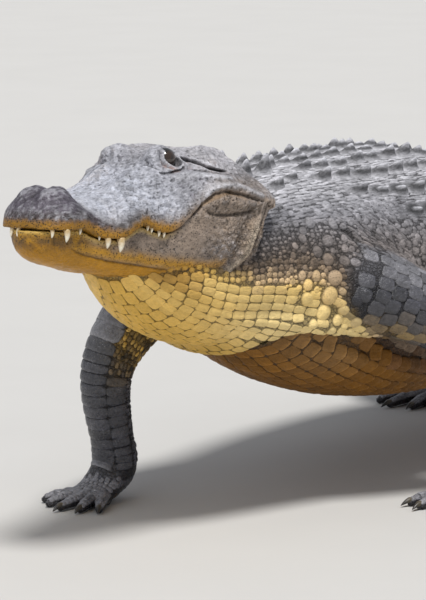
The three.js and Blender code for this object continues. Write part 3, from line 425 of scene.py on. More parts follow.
def d_head(P):
    a, b, z = head_coords(P)
    side = np.abs(b)
    # upper side
    zc = np.interp(a, SK_A, SK_C)
    r, phi = np.hypot(side, z - zc), np.degrees(np.arctan2(z - zc, side))
    i, j = a / SK_A[1], phi + 90
    up = (r - look_up(SK_R, i, j)) * look_up(SK_G, i, j)
    up = smax(up, -a - 0.001, 0.006)
    up = smax(up, a - 0.4765, 0.01)
    q = np.stack([a, side, z], -1)
    nose = ellipsoid(q, np.array([NOSTRIL["a"], NOSTRIL["b"], NOSTRIL["z"]]), np.array([NOSTRIL["ra"], NOSTRIL["rb"], NOSTRIL["rz"]]))
    up = smin(up, nose, 0.007)
    brow = ellipsoid(q, np.array([BROW["a"], BROW["b"], BROW["z"]]), np.array([BROW["ra"], BROW["rb"], BROW["rz"]]))
    up = smin(up, brow, 0.01)
    # groove behind the mound of the nostrils, and the dip between them
    top = smooth(z, 0.025, 0.045)
    up = up + top * 0.0045 * bump(a, 0.083 - 0.1 * side, 0.006)
    up = up + top * 0.0009 * bump(side, 0, 0.008) * smooth(a, 0.02, 0.035) * (1 - smooth(a, 0.07, 0.085))
    # lobe before the eye
    lobe = ellipsoid(q, np.array([0.263, 0.0415, 0.1025]), np.array([0.0125, 0.0128, 0.0165]))
    up = smin(up, lobe, 0.0022)
    # ridges that run forward from the brows, and the hollows beside and between them
    mid = smooth(z, 0.03, 0.05)
    up = up - mid * 0.006 * bump(side, 0.03 - 0.05 * (a - 0.2), 0.008) * smooth(a, 0.14, 0.2) * (1 - smooth(a, 0.24, 0.262))
    up = up + mid * 0.004 * bump(side, 0.0, 0.015) * smooth(a, 0.12, 0.2) * (1 - smooth(a, 0.27, 0.3))
    up = up + mid * 0.006 * bump(a, 0.247, 0.008) * bump(side, 0.022, 0.01)
    up = up + 0.0035 * bump(a, 0.2, 0.035) * bump(side, 0.058, 0.012) * mid
    # flat table of the skull with a raised rim
    tab = smooth(z, 0.1, 0.11) * smooth(a, 0.3, 0.315) * (1 - smooth(a, 0.415, 0.435))
    up = up + tab * (0.0015 - 0.0035 * bump(side, 0.052, 0.008))
    # flap over the ear
    up = up - 0.0045 * bump(a, 0.352, 0.03) * bump(side, 0.076, 0.014) * smooth(z, 0.09, 0.096)
    up = up + tab * 0.002 * bump(side, 0.026, 0.012) * bump(a, 0.36, 0.03)
    # lower jaw
    lip = lipZ(a)
    w = skullW(a) - jawInset(a)
    h = lip - jawBottom(a)
    n = jawN(a)
    low = oval(side, np.minimum(z - lip, -1e-5), w, h, n)
    low = smax(low, z - lip + 0.0008, 0.003)
    low = smax(low, 0.002 - a, 0.006)
    rear = np.interp(z, [-0.085, -0.066, -0.052, -0.036, -0.015, 0.01, 0.028, 0.048, 0.07], [0.362, 0.388, 0.408, 0.416, 0.42, 0.43, 0.446, 0.46, 0.4765])
    low = smax(low, (a - rear) * 0.9, 0.02)
    # gum that swells between the teeth
    low = low - 0.002 * bump(z, lip - 0.005, 0.004) * (1 - smooth(a, 0.22, 0.27)) * (0.5 + 0.5 * np.sin(a * 420))
    d = smin(up, low, 0.0021 + 0.011 * smooth(a, 0.272, 0.31))
    # mouth line
    shut = 0.0014 * bump(z, lip, 0.0015) * (1 - smooth(a, 0.258, 0.285))
    d = d + shut * smooth(side, 0.012, 0.02) + 0.002 * bump(z, lip, 0.0022) * (1 - smooth(side, 0.012, 0.02)) * (1 - smooth(a, 0.0, 0.03))
    # muscle behind the corner of the mouth
    d = d - 0.0062 * bump(a, 0.343, 0.036) * bump(z, 0.0405, 0.0085) * smooth(side, 0.05, 0.08)
    d = d - 0.004 * bump(a, 0.375, 0.05) * bump(z, -0.012, 0.028) * smooth(side, 0.05, 0.08)
    d = d + 0.003 * bump(a, 0.3, 0.03) * bump(z, 0.012, 0.013) * smooth(side, 0.05, 0.08)
    on_side = smooth(side, 0.028, 0.045)
    for points, width, depth in FACE_LINES:
        lo, hi = np.min(points, 0) - 4 * width, np.max(points, 0) + 4 * width
        m = (a > lo[0]) & (a < hi[0]) & (z > lo[1]) & (z < hi[1]) & (side > 0.025)
        if m.any():
            dist, at = line_distance(a[m], z[m], points)
            fade = smooth(at, 0, 0.12) * (1 - smooth(at, 0.88, 1))
            d[m] += depth * np.exp(-((dist / width) ** 2)) * fade * on_side[m]
    points, width, depth = EAR
    m = (a > 0.29) & (a < 0.4) & (z > 0.075) & (z < 0.112) & (side > 0.03)
    if m.any():
        dist, at = line_distance(a[m], z[m], points)
        w_here = width * (1.15 - 0.75 * at)
        d[m] += depth * np.exp(-((dist / w_here) ** 2)) * smooth(at, 0, 0.06) * (1 - smooth(at, 0.8, 1)) * on_side[m]
    # worn relief of the bony skin
    bony = smooth(a, 0.075, 0.1) * smooth(z, 0.01, 0.03)
    rough = waves(P, 0.019, 11)
    d = d + bony * 0.0014 * rough + (1 - bony) * 0.0006 * waves(P, 0.012, 12)
    d = d + bony * 0.0019 * smooth(waves(P, 0.011, 13), 0.25, 0.9)
    # short wrinkles, that run back and up over the side of the head
    turned = np.stack([0.34 * a + 0.12 * z, 0.5 * side, z - 0.25 * a], -1)
    wrinkle = waves(turned, 0.0042, 15)
    d = d + (0.35 + 0.65 * bony) * smooth(a, 0.1, 0.16) * 0.0011 * smooth(wrinkle, 0.1, 0.9)
    # long scores and pits
    on_top = (a > 0.08) & (a < 0.275) & (z > 0.02)
    if on_top.any():
        aa, bb = a[on_top], b[on_top]
        cut = np.zeros(len(aa))
        for pa, pb, pl, pw, turn in PITS:
            c_, s_ = math.cos(math.radians(turn)), math.sin(math.radians(turn))
            x, y = aa - pa, bb - pb
            near = np.abs(x) + np.abs(y) < 0.02
            x, y = x[near], y[near]
            cut[near] = np.maximum(cut[near], np.exp(-(((x * c_ + y * s_) / pl) ** 2) - ((y * c_ - x * s_) / pw) ** 2))
        d[on_top] += 0.0013 * cut * smooth(z[on_top], 0.02, 0.035)
    # bumps of the rear jaw
    jaw = smooth(a, 0.29, 0.36) * (1 - smooth(z, 0.0, 0.04)) * smooth(side, 0.05, 0.08)
    d = d - jaw * 0.0018 * smooth(waves(P, 0.014, 14), -0.1, 0.8) - jaw * 0.0012 * smooth(waves(P, 0.006, 16), 0.0, 0.8)
    back_of = np.interp(z, [-0.066, -0.037, -0.015, 0.01, 0.028], [0.358, 0.383, 0.386, 0.396, 0.41])
    low_side = (1 - smooth(z, 0.006, 0.03)) * smooth(side, 0.05, 0.08)
    d = d - 0.0034 * bump(a - back_of, 0, 0.009) * low_side + 0.0036 * bump(a - back_of, -0.024, 0.009) * low_side * smooth(z, -0.05, -0.03)
    d = d - 0.003 * bump(a, 0.335, 0.02) * bump(z, -0.03, 0.02) * smooth(side, 0.05, 0.08)
    hollow = smooth(a, 0.29, 0.32) * bump(z, 0.035, 0.025) * smooth(side, 0.05, 0.08)
    d = d - hollow * 0.0013 * smooth(waves(turned, 0.005, 17), 0.0, 0.8)
    # opening between the lids, with a thick rim
    e = np.stack([(a - EYE["a"]), side - (EYE["b"] + EYE["r"]), z - EYE["z"]], -1)
    k = np.sqrt((e[:, 0] / LID["ra"]) ** 2 + (e[:, 2] / LID["rz"]) ** 2)
    near = bump(side, EYE["b"] + EYE["r"] * 0.8, 0.014)
    d = d - 0.003 * bump(k, 1.27, 0.15) * near + 0.0016 * bump(k, 1.66, 0.14) * near
    d = smax(d, -ellipsoid(q, np.array([EYE["a"], EYE["b"] + EYE["r"], EYE["z"] - LID_DROP]), np.array([LID["ra"], LID["rb"], LID["rz"]])), 0.0016)
    # openings of the nostrils
    hole = ellipsoid(q, np.array([0.0585, 0.0165, 0.0605]), np.array([0.0085, 0.0048, 0.008]))
    d = d - 0.0018 * bump(hole, 0.0025, 0.003) * smooth(z, 0.04, 0.05)
    d = smax(d, -hole, 0.002)
    return d * HEAD_SCALE + 0.0003


# ---------------------------------------------------------------- limbs
def V(*p):
    return np.array(p, float)


def spline(points, t):
    """Centripetal curve through points, at parameters 0..1 by point number."""
    p = np.asarray(points, float)
    ext = np.concatenate([[2 * p[0] - p[1]], p, [2 * p[-1] - p[-2]]])
    k = np.clip(t, 0, 0.999999) * (len(p) - 1)
    i = k.astype(int)
    f = (k - i)[:, None]
    p0, p1, p2, p3 = ext[i], ext[i + 1], ext[i + 2], ext[i + 3]
    d0, d1, d2 = (np.maximum(np.sum((y - x) ** 2, 1) ** 0.25, 1e-4)[:, None] for x, y in ((p0, p1), (p1, p2), (p2, p3)))
    t1 = ((p1 - p0) / d0 - (p2 - p0) / (d0 + d1) + (p2 - p1) / d1) * d1
    t2 = ((p2 - p1) / d1 - (p3 - p1) / (d1 + d2) + (p3 - p2) / d2) * d1
    return p1 + t1 * f + (-3 * p1 + 3 * p2 - 2 * t1 - t2) * f * f + (2 * p1 - 2 * p2 + t1 + t2) * f**3


class Tube:
    """A limb or digit: sections of oval shape along a line. across is the wide axis, thick the other."""

    def __init__(self, centre, across, thick, rw, rt, n=2.0, inset=SKIN_DEPTH):
        self.c, self.x, self.y, self.rw, self.rt, self.n = centre, across, thick, rw - inset, rt - inset, n
        seg = np.diff(self.c, axis=0)
        self.len = np.linalg.norm(seg, axis=1)
        self.at = np.concatenate([[0], np.cumsum(self.len)])
        self.dir = seg / self.len[:, None]
        m = max(rw.max(), rt.max())
        self.lo, self.hi = self.c.min(0) - m, self.c.max(0) + m

    def place(self, P):
        """Nearest section, as a fractional index, then the offsets across, thick and past the ends."""
        best = np.full(len(P), 1e9)
        idx, over = np.zeros(len(P)), np.zeros(len(P))
        last = len(self.len) - 1
        for i in range(len(self.len)):
            q = P - self.c[i]
            t = q @ self.dir[i]
            f = t / self.len[i]
            fc = np.clip(f, 0, 1)
            d = np.sum((q - (fc * self.len[i])[:, None] * self.dir[i]) ** 2, 1)
            m = d < best
            best[m] = d[m]
            idx[m] = i + fc[m]
            o = np.zeros(len(P))
            if i == 0:
                o = np.minimum(t, 0)
            if i == last:
                o = np.where(f > 1, t - self.len[i], o)
            over[m] = o[m]
        k = np.clip(idx, 0, last + 0.9999)
        i, f = k.astype(int), (k - k.astype(int))[:, None]
        c = self.c[i] * (1 - f) + self.c[i + 1] * f
        x = self.x[i] * (1 - f) + self.x[i + 1] * f
        y = self.y[i] * (1 - f) + self.y[i + 1] * f
        q = P - c
        return idx, np.sum(q * x, 1), np.sum(q * y, 1), over

    def d(self, P):
        idx, u, v, over = self.place(P)
        j = np.arange(len(self.rw))
        w, t = np.interp(idx, j, self.rw), np.interp(idx, j, self.rt)
        m = np.minimum(w, t)
        # the ends are round
        o = np.abs(over) / m
        flat = oval(u, v, w, t, self.n)
        return np.where(o > 0, np.sqrt(np.maximum(flat + m, 0) ** 2 + over**2) - m, flat)


def unit(v):
    return v / np.maximum(np.linalg.norm(v, axis=-1, keepdims=True), 1e-12)


def limb_tube(points, radii, n=44):
    t = np.linspace(0, 1, n)
    c = spline(points, t)
    tan = unit(np.gradient(c, axis=0))
    across = unit(np.cross(tan, V(0, 1, 0)))
    thick = unit(np.cross(across, tan))
    r = np.asarray(radii)
    j = np.arange(len(r))
    k = t * (len(r) - 1)
    return Tube(c, across, thick, np.interp(k, j, r[:, 0]), np.interp(k, j, r[:, 1]))


ARM = [[0.068, 0.06], [0.066, 0.058], [0.043, 0.041], [0.03, 0.032]]
LEG = [[0.09, 0.075], [0.094, 0.075], [0.058, 0.052], [0.034, 0.035]]
FINGERS = [[34, 0.024, 0.045, True], [17, 0.014, 0.056, True], [1, 0.002, 0.062, True], [-17, -0.011, 0.054, False], [-38, -0.022, 0.043, False]]
TOES = [[17, 0.026, 0.07, True], [6, 0.01, 0.092, True], [-6, -0.008, 0.098, True], [-19, -0.024, 0.08, False]]
LIMBS = {
    "fore_right": dict(path=[(0.04, 0.085, 0.4), (-0.05, 0.142, 0.345), (-0.168, 0.2, 0.212), (-0.15, 0.203, 0.058)], radii=ARM,
                       names=("upper_arm_right", "forearm_right", "hand_right"), x=-0.185, y=0.207, yaw=172, fore=True, mirror=1),
    "fore_left": dict(path=[(-0.1, -0.085, 0.358), (-0.03, -0.155, 0.332), (0.12, -0.238, 0.24), (0.142, -0.248, 0.094)], radii=ARM,
                      names=("upper_arm_left", "forearm_left", "hand_left"), x=0.1, y=-0.252, yaw=186, fore=True, mirror=-1),
    "hind_right": dict(path=[(0.72, 0.03, 0.33), (0.72, 0.12, 0.3), (0.76, 0.23, 0.205), (0.922, 0.193, 0.095)], radii=LEG,
                       names=("thigh_right", "shank_right", "foot_right"), x=0.872, y=0.188, yaw=175, fore=False, mirror=1),
    "hind_left": dict(path=[(0.78, -0.04, 0.32), (0.69, -0.13, 0.31), (0.54, -0.238, 0.25), (0.632, -0.236, 0.078)], radii=LEG,
                      names=("thigh_left", "shank_left", "foot_left"), x=0.585, y=-0.24, yaw=186, fore=False, mirror=-1),
}
for limb in LIMBS.values():
    path = np.array(limb["path"]) + SHIFT
    limb["path"] = path
    limb["tube"] = limb_tube(path, limb["radii"])
    yaw = math.radians(limb["yaw"])
    fwd = V(math.cos(yaw), math.sin(yaw), 0)
    lateral = V(-fwd[1], fwd[0], 0)
    if lateral @ V(0, -limb["mirror"], 0) < 0:
        lateral = -lateral
    wrist, centre = path[3], V(limb["x"] + SHIFT[0], limb["y"] + SHIFT[1], 0)
    fore = limb["fore"]
    reach, width = (0.03, 0.034) if fore else (0.05, 0.036)
    limb.update(fwd=fwd, lateral=lateral, centre=centre, reach=reach)
    half = wrist * 0.5 + centre * 0.5
    half[2] = max(0.034, 0.52 * wrist[2])
    st = [(wrist + V(0, 0, 0.012), 0.034, 0.03), (wrist + V(0, 0, -0.012), 0.034, 0.032), (half, width, 0.03),
          (centre + V(0, 0, 0.02), width + 0.003, 0.021), (centre + fwd * reach + V(0, 0, 0.013), width + 0.002, 0.013)]
    c0 = np.array([s[0] for s in st])
    t = np.linspace(0, 1, 17)
    c = np.stack([np.interp(t * 4, range(5), c0[:, k]) for k in range(3)], 1)
    c[1:-1] = (c[:-2] + 2 * c[1:-1] + c[2:]) / 4
    tan = unit(np.gradient(c, axis=0))
    up = unit(np.cross(tan, lateral))
    limb["palm"] = Tube(c, np.repeat(lateral[None], 17, 0), up, np.interp(t * 4, range(5), [s[1] for s in st]), np.interp(t * 4, range(5), [s[2] for s in st]), inset=0.0016)
    limb["digits"] = []
    for angle, start, length, clawed in FINGERS if fore else TOES:
        turn = math.radians(angle)
        d = fwd * math.cos(turn) + lateral * math.sin(turn)
        r0, r1 = (0.0115, 0.0075) if fore else (0.0135, 0.0085)
        root = centre + fwd * reach * 0.55 + lateral * start
        full = length + reach * 0.45
        tt = np.linspace(0, 0.97, 12)
        r = r0 + (r1 - r0) * np.minimum(tt, 0.92)
        # knuckles
        r = r * (1 + 0.06 * np.cos(tt * TAU * 3)) * np.where(tt > 0.9, 0.8, 1.0)
        cc = root + np.outer(tt * full, d)
        cc[:, 2] = 0.8 * r + 0.004 * np.sin(np.pi * tt)
        side_ = V(-d[1], d[0], 0)
        tan = unit(np.gradient(cc, axis=0))
        upd = unit(np.cross(tan, side_))
        upd = upd * np.sign(upd[:, 2:3])
        tube = Tube(cc, np.repeat(side_[None], 12, 0), upd, r, r, inset=0.0009)
        limb["digits"].append(dict(tube=tube, root=root, dir=d, full=full, r1=r1, clawed=clawed, fore=fore))
    if not fore:
        pts = [centre[:2]]
        for angle, start, length, _ in TOES:
            turn = math.radians(angle)
            d = fwd * math.cos(turn) + lateral * math.sin(turn)
            pts.append((centre + fwd * reach * 0.55 + lateral * start + d * (length + reach * 0.45) * 0.55)[:2])
        limb["web"] = np.array(pts)


def d_web(P, poly):
    """A thin fan between the toes."""
    area = 0.5 * np.sum(poly[:, 0] * np.roll(poly[:, 1], -1) - np.roll(poly[:, 0], -1) * poly[:, 1])
    q = poly if area > 0 else poly[::-1]
    d = np.full(len(P), -1e9)
    for i in range(len(q)):
        e = q[(i + 1) % len(q)] - q[i]
        n = np.array([e[1], -e[0]]) / np.hypot(*e)
        d = np.maximum(d, (P[:, :2] - q[i]) @ n)
    return smax(d, np.abs(P[:, 2] - 0.0055) - 0.0022, 0.002)


def d_limb(P, limb):
    d = limb["tube"].d(P)
    low = P[:, 2] < limb["path"][3][2] + 0.06
    if low.any():
        q = P[low]
        f = smin(d[low], limb["palm"].d(q), 0.012)
        for g in limb["digits"]:
            t = g["tube"]
            m = np.all((q > t.lo - 0.012) & (q < t.hi + 0.012), 1)
            if m.any():
                f[m] = smin(f[m], t.d(q[m]), 0.004)
        if "web" in limb:
            f = smin(f, d_web(q, limb["web"]), 0.003)
        d[low] = f
    return d


BOXES = {}
for name, limb in LIMBS.items():
    pts = [limb["tube"].lo, limb["tube"].hi, limb["palm"].lo, limb["palm"].hi] + [g["tube"].lo for g in limb["digits"]] + [g["tube"].hi for g in limb["digits"]]
    BOXES[name] = (np.min(pts, 0), np.max(pts, 0))
HEAD_LO, HEAD_HI = V(PX[0] - 0.01, TIP[1] - 0.15, 0.36), V(PX[0] + 0.475, TIP[1] + 0.15, 0.6)
PARTS = ["body", "head"] + list(LIMBS)


def part_distances(P):
    """Distance to each part of the animal by itself, one column for each of PARTS."""
    P = np.asarray(P, float)
    D = np.full((len(P), len(PARTS)), 0.2)
    near = np.ones(len(P), bool)
    D[:, 0] = d_body(P)
    m = np.all((P > HEAD_LO - 0.03) & (P < HEAD_HI + 0.03), 1)
    if m.any():
        D[m, 1] = d_head(P[m])
    for k, (name, limb) in enumerate(LIMBS.items()):
        lo, hi = BOXES[name]
        m = np.all((P > lo - 0.05) & (P < hi + 0.05), 1)
        if m.any():
            D[m, 2 + k] = d_limb(P[m], limb)
    return D


def field(P, parts=False):
    D = part_distances(P)
    d = D[:, 0]
    for k, name in enumerate(LIMBS):
        d = smin(d, D[:, 2 + k], 0.022 if LIMBS[name]["fore"] else 0.03)
    d = smin(d, D[:, 1], 0.007)
    d = smax(d, 0.0006 - P[:, 2], 0.002)
    if parts:
        return d, D
    return d


def in_pieces(f, P, n=60000):
    """f over many points, a part at a time on each processor."""
    if len(P) <= n:
        return f(P)
    with ThreadPoolExecutor(4) as pool:
        return np.concatenate(list(pool.map(f, [P[i : i + n] for i in range(0, len(P), n)])))


def gradient(P, h=0.0008):
    g = np.zeros_like(P)
    for k in range(3):
        e = np.zeros(3)
        e[k] = h
        g[:, k] = (in_pieces(field, P + e) - in_pieces(field, P - e)) / (2 * h)
    return g


def settle(P, steps=2, most=0.006):
    """Moves points onto the surface. Returns them with the outward direction there."""
    P = np.array(P, float)
    g = gradient(P)
    for i in range(steps):
        f = in_pieces(field, P)
        g2 = np.maximum(np.sum(g * g, 1), 0.05)
        P = P - g * np.clip(f / g2, -most, most)[:, None]
        if i < steps - 1:
            g = gradient(P)
    g = gradient(P)
    return P, unit(g)

# ---------------------------------------------------------------- one closed skin from the field
def grid_lines():
    """Grid spacing: fine round the head, wider over the rest."""
    fine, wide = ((0.00145, 0.0056))
    lo, hi = CAD_LO_NP - 0.012, CAD_HI_NP + 0.012
    x_head = TIP[0] + 0.46 * HEAD_SCALE

    def axis(a, b, f0, f1):
        """From a to b with the fine step between f0 and f1."""
        out, x = [a], a
        while x < b:
            away = max(f0 - x, x - f1, 0)
            x += fine + (wide - fine) * min(1, away / 0.03)
            out.append(x)
        return np.array(out)

    X = axis(lo[0], hi[0], lo[0], x_head)
    Y = axis(lo[1], hi[1], TIP[1] - 0.135, TIP[1] + 0.135)
    Z = axis(-0.01, hi[2], 0.375, hi[2])
    return X, Y, Z


def surface(f, X, Y, Z, k=4):
    """Closed mesh of the zero level of f, with vertices inside the cells that it crosses."""
    pad = lambda A: np.concatenate([A, A[-1] + (A[-1] - A[-2]) * np.arange(1, (-(len(A) - 1)) % k + 1)])
    X, Y, Z = pad(X), pad(Y), pad(Z)
    cx, cy, cz = X[::k], Y[::k], Z[::k]
    G = np.stack(np.meshgrid(cx, cy, cz, indexing="ij"), -1).reshape(-1, 3)
    C = in_pieces(f, G).reshape(len(cx), len(cy), len(cz))
    # blocks that the surface may cross
    dx, dy, dz = np.diff(cx), np.diff(cy), np.diff(cz)
    diag = np.sqrt(dx[:, None, None] ** 2 + dy[None, :, None] ** 2 + dz[None, None, :] ** 2)
    corners = [C[i : C.shape[0] - 1 + i, j : C.shape[1] - 1 + j, l : C.shape[2] - 1 + l] for i in (0, 1) for j in (0, 1) for l in (0, 1)]
    low, high = np.minimum.reduce(corners), np.maximum.reduce(corners)
    near = (low < 0.9 * diag + 0.004) & (high > -0.9 * diag - 0.004)
    need = np.zeros((len(X), len(Y), len(Z)), bool)
    bi, bj, bl = np.nonzero(near)
    for i in range(k + 1):
        for j in range(k + 1):
            for l in range(k + 1):
                need[bi * k + i, bj * k + j, bl * k + l] = True
    F = np.repeat(np.repeat(np.repeat(C, k, 0), k, 1), k, 2)[: len(X), : len(Y), : len(Z)].astype(np.float32)
    i, j, l = np.nonzero(need)
    F[i, j, l] = in_pieces(f, np.stack([X[i], Y[j], Z[l]], 1))
    inside = F < 0
    n = np.zeros(tuple(s - 1 for s in inside.shape), np.uint8)
    for a in (0, 1):
        for b in (0, 1):
            for c in (0, 1):
                n += inside[a : inside.shape[0] - 1 + a, b : inside.shape[1] - 1 + b, c : inside.shape[2] - 1 + c]
    i, j, l = np.nonzero((n > 0) & (n < 8))
    index = np.full(n.shape, -1, np.int32)
    index[i, j, l] = np.arange(len(i))
    ends = [(0, 0, 0), (1, 0, 0), (0, 1, 0), (1, 1, 0), (0, 0, 1), (1, 0, 1), (0, 1, 1), (1, 1, 1)]
    val = np.stack([F[i + a, j + b, l + c] for a, b, c in ends], 1)
    total, count = np.zeros((len(i), 3)), np.zeros(len(i))
    for p in range(8):
        for q in range(p + 1, 8):
            if sum(x != y for x, y in zip(ends[p], ends[q])) == 1:
                cross = (val[:, p] < 0) != (val[:, q] < 0)
                t = np.where(cross, val[:, p] / np.where(cross, val[:, p] - val[:, q], 1), 0)
                total += np.where(cross[:, None], np.array(ends[p]) + t[:, None] * (np.array(ends[q]) - np.array(ends[p])), 0)
                count += cross
    w = total / count[:, None]
    P = np.stack([X[i] + w[:, 0] * (X[i + 1] - X[i]), Y[j] + w[:, 1] * (Y[j + 1] - Y[j]), Z[l] + w[:, 2] * (Z[l + 1] - Z[l])], 1)
    quads = []
    for ax in range(3):
        sl0 = [slice(None)] * 3
        sl1 = [slice(None)] * 3
        sl0[ax], sl1[ax] = slice(0, -1), slice(1, None)
        a, b = inside[tuple(sl0)], inside[tuple(sl1)]
        e = np.argwhere(a != b)
        o1, o2 = [d for d in range(3) if d != ax]
        e = e[(e[:, o1] > 0) & (e[:, o2] > 0)]
        first = a[e[:, 0], e[:, 1], e[:, 2]]
        cells = []
        for u, v in ((1, 1), (0, 1), (0, 0), (1, 0)):
            c = e.copy()
            c[:, o1] -= u
            c[:, o2] -= v
            cells.append(index[c[:, 0], c[:, 1], c[:, 2]])
        q = np.stack(cells, 1)
        flip = first if ax != 1 else ~first
        q[~flip] = q[~flip][:, ::-1]
        quads.append(q)
    return P, np.concatenate(quads)


# ---------------------------------------------------------------- colours, the same for hide and scales
def rgb(r, g, b):
    c = np.array([r, g, b], float) / 255
    return np.where(c <= 0.04045, c / 12.92, ((c + 0.055) / 1.055) ** 2.4)


GREY, FLANK, BROWN = rgb(134, 133, 138), rgb(118, 111, 109), rgb(126, 106, 84)
OCHRE, PALE, SHADED_AMBER, PEACH = rgb(206, 166, 78), rgb(246, 220, 156), rgb(108, 60, 1), rgb(208, 180, 146)
SLATE, BACK_SHEEN, INK, DUST_AND_SHEEN = rgb(50, 50, 56), rgb(184, 183, 188), rgb(22, 20, 20), rgb(196, 196, 202)
FACE, SNOUT_SHEEN, NOSE = rgb(150, 149, 155), rgb(184, 187, 198), rgb(88, 82, 92)
LIP, CHEEK, CHIN, GOLD = rgb(156, 112, 32), rgb(146, 130, 116), rgb(190, 134, 18), rgb(206, 150, 24)
DARK_MOTTLE_AND_SHADE, GUM = rgb(70, 56, 44), rgb(216, 184, 104)


def mix(a, b, t):
    return a + (b - a) * np.asarray(t)[:, None]


EDGE_S = [0.2, 0.25, 0.3, 0.35, 0.394, 0.45, 0.5, 0.53, 0.556, 0.59, 0.64, 0.7, 0.8, 1.3, 1.7, 2.2, 2.9]
EDGE_ANG = [82, 82, 83, 86, 88, 88, 88, 90, 95, 103, 110, 116, 121, 128, 139, 151, 161]


def body_marks(p, w1, w2):
    s, u, _ = body_coords(p)
    k = len(p)
    v = p[:, 2] - bodyMid(s)
    ang = np.degrees(np.arctan2(np.abs(u), v))
    # paler along the top of the back and neck: painted sheen of light from above over the grey
    c = mix(np.tile(BACK_SHEEN, (k, 1)), np.tile(GREY, (k, 1)), smooth(ang + 6 * w1, 36, 56))
    c = mix(c, np.tile(FLANK, (k, 1)), smooth(ang, 52, 75))
    c = mix(c, np.tile(FLANK * 0.8, (k, 1)), 0.6 * smooth(ang, 72, 88) * (1 - smooth(s, 0.75, 1.1)))
    c = mix(c, np.tile(SLATE, (k, 1)), 0.6 * smooth(s, 1.5, 1.9))
    edge = np.interp(s, EDGE_S, EDGE_ANG)
    rim = ang + 4 * w1 + 2.5 * w2
    c = mix(c, np.tile(BROWN, (k, 1)), 0.75 * bump(rim, edge - 4, 9) * (1 - smooth(s, 1.4, 1.8)))
    pale = smooth(rim, edge - 4, edge + 4)
    under = mix(np.tile(OCHRE, (k, 1)), np.tile(PALE, (k, 1)), 0.9 * bump(ang, 122, 26) * (1 - smooth(s, 0.6, 0.7)))
    under = mix(under, np.tile(rgb(230, 184, 84), (k, 1)), 0.7 * (1 - smooth(s, 0.27, 0.46)) * smooth(ang, 100, 112))
    # darker gold just under the jaw: painted shade beneath the jaw
    under = mix(under, np.tile(rgb(176, 128, 44), (k, 1)), 0.75 * (1 - smooth(s, 0.25, 0.32)) * (1 - smooth(ang, 104, 118)))
    under = mix(under, np.tile(PEACH, (k, 1)), 0.85 * (1 - smooth(rim, edge + 2, edge + 13)) * (1 - smooth(s, 0.9, 1.2)) * smooth(s, 0.31, 0.42))
    # amber chest behind the pouch's fold, its own colour made darker as painted shade under the fold
    chest = smooth(fold_offset(s, ang), 0.0, 0.006) * smooth(ang, 104, 116)
    under = mix(under, np.tile(SHADED_AMBER, (k, 1)), 0.85 * chest)
    c = mix(c, under, pale * (1 - 0.5 * smooth(s, 1.6, 2.3)))
    # black blotches at the rim of the belly behind the arm
    blot = smooth(w2 + 0.5 * w1, 0.1, 0.5) * bump(rim, edge + 1, 8) * smooth(s, 0.55, 0.62)
    c = mix(c, np.tile(INK, (k, 1)), 0.85 * blot)
    # painted shade in the fold under the throat
    c = c * (1 - 0.6 * bump(fold_offset(s, ang), 0.004, 0.005) * smooth(ang, 104, 114))[:, None]
    # painted shade in the fold over the shoulder
    shoulder = bump(s, 0.575 + 0.0021 * (ang - 60), 0.008) * smooth(ang, 56, 66) * (1 - smooth(ang, 80, 90))
    c = c * (1 - 0.6 * shoulder)[:, None]
    calm = 1 - 0.7 * pale
    c = c * (1 + (0.14 * w1 + 0.1 * w2) * calm)[:, None]
    spot = 0.5 * bump(rim, edge + 2, 8) + 0.12 * (1 - pale)
    return c, spot, 0.42 + 0.1 * pale, ang, s


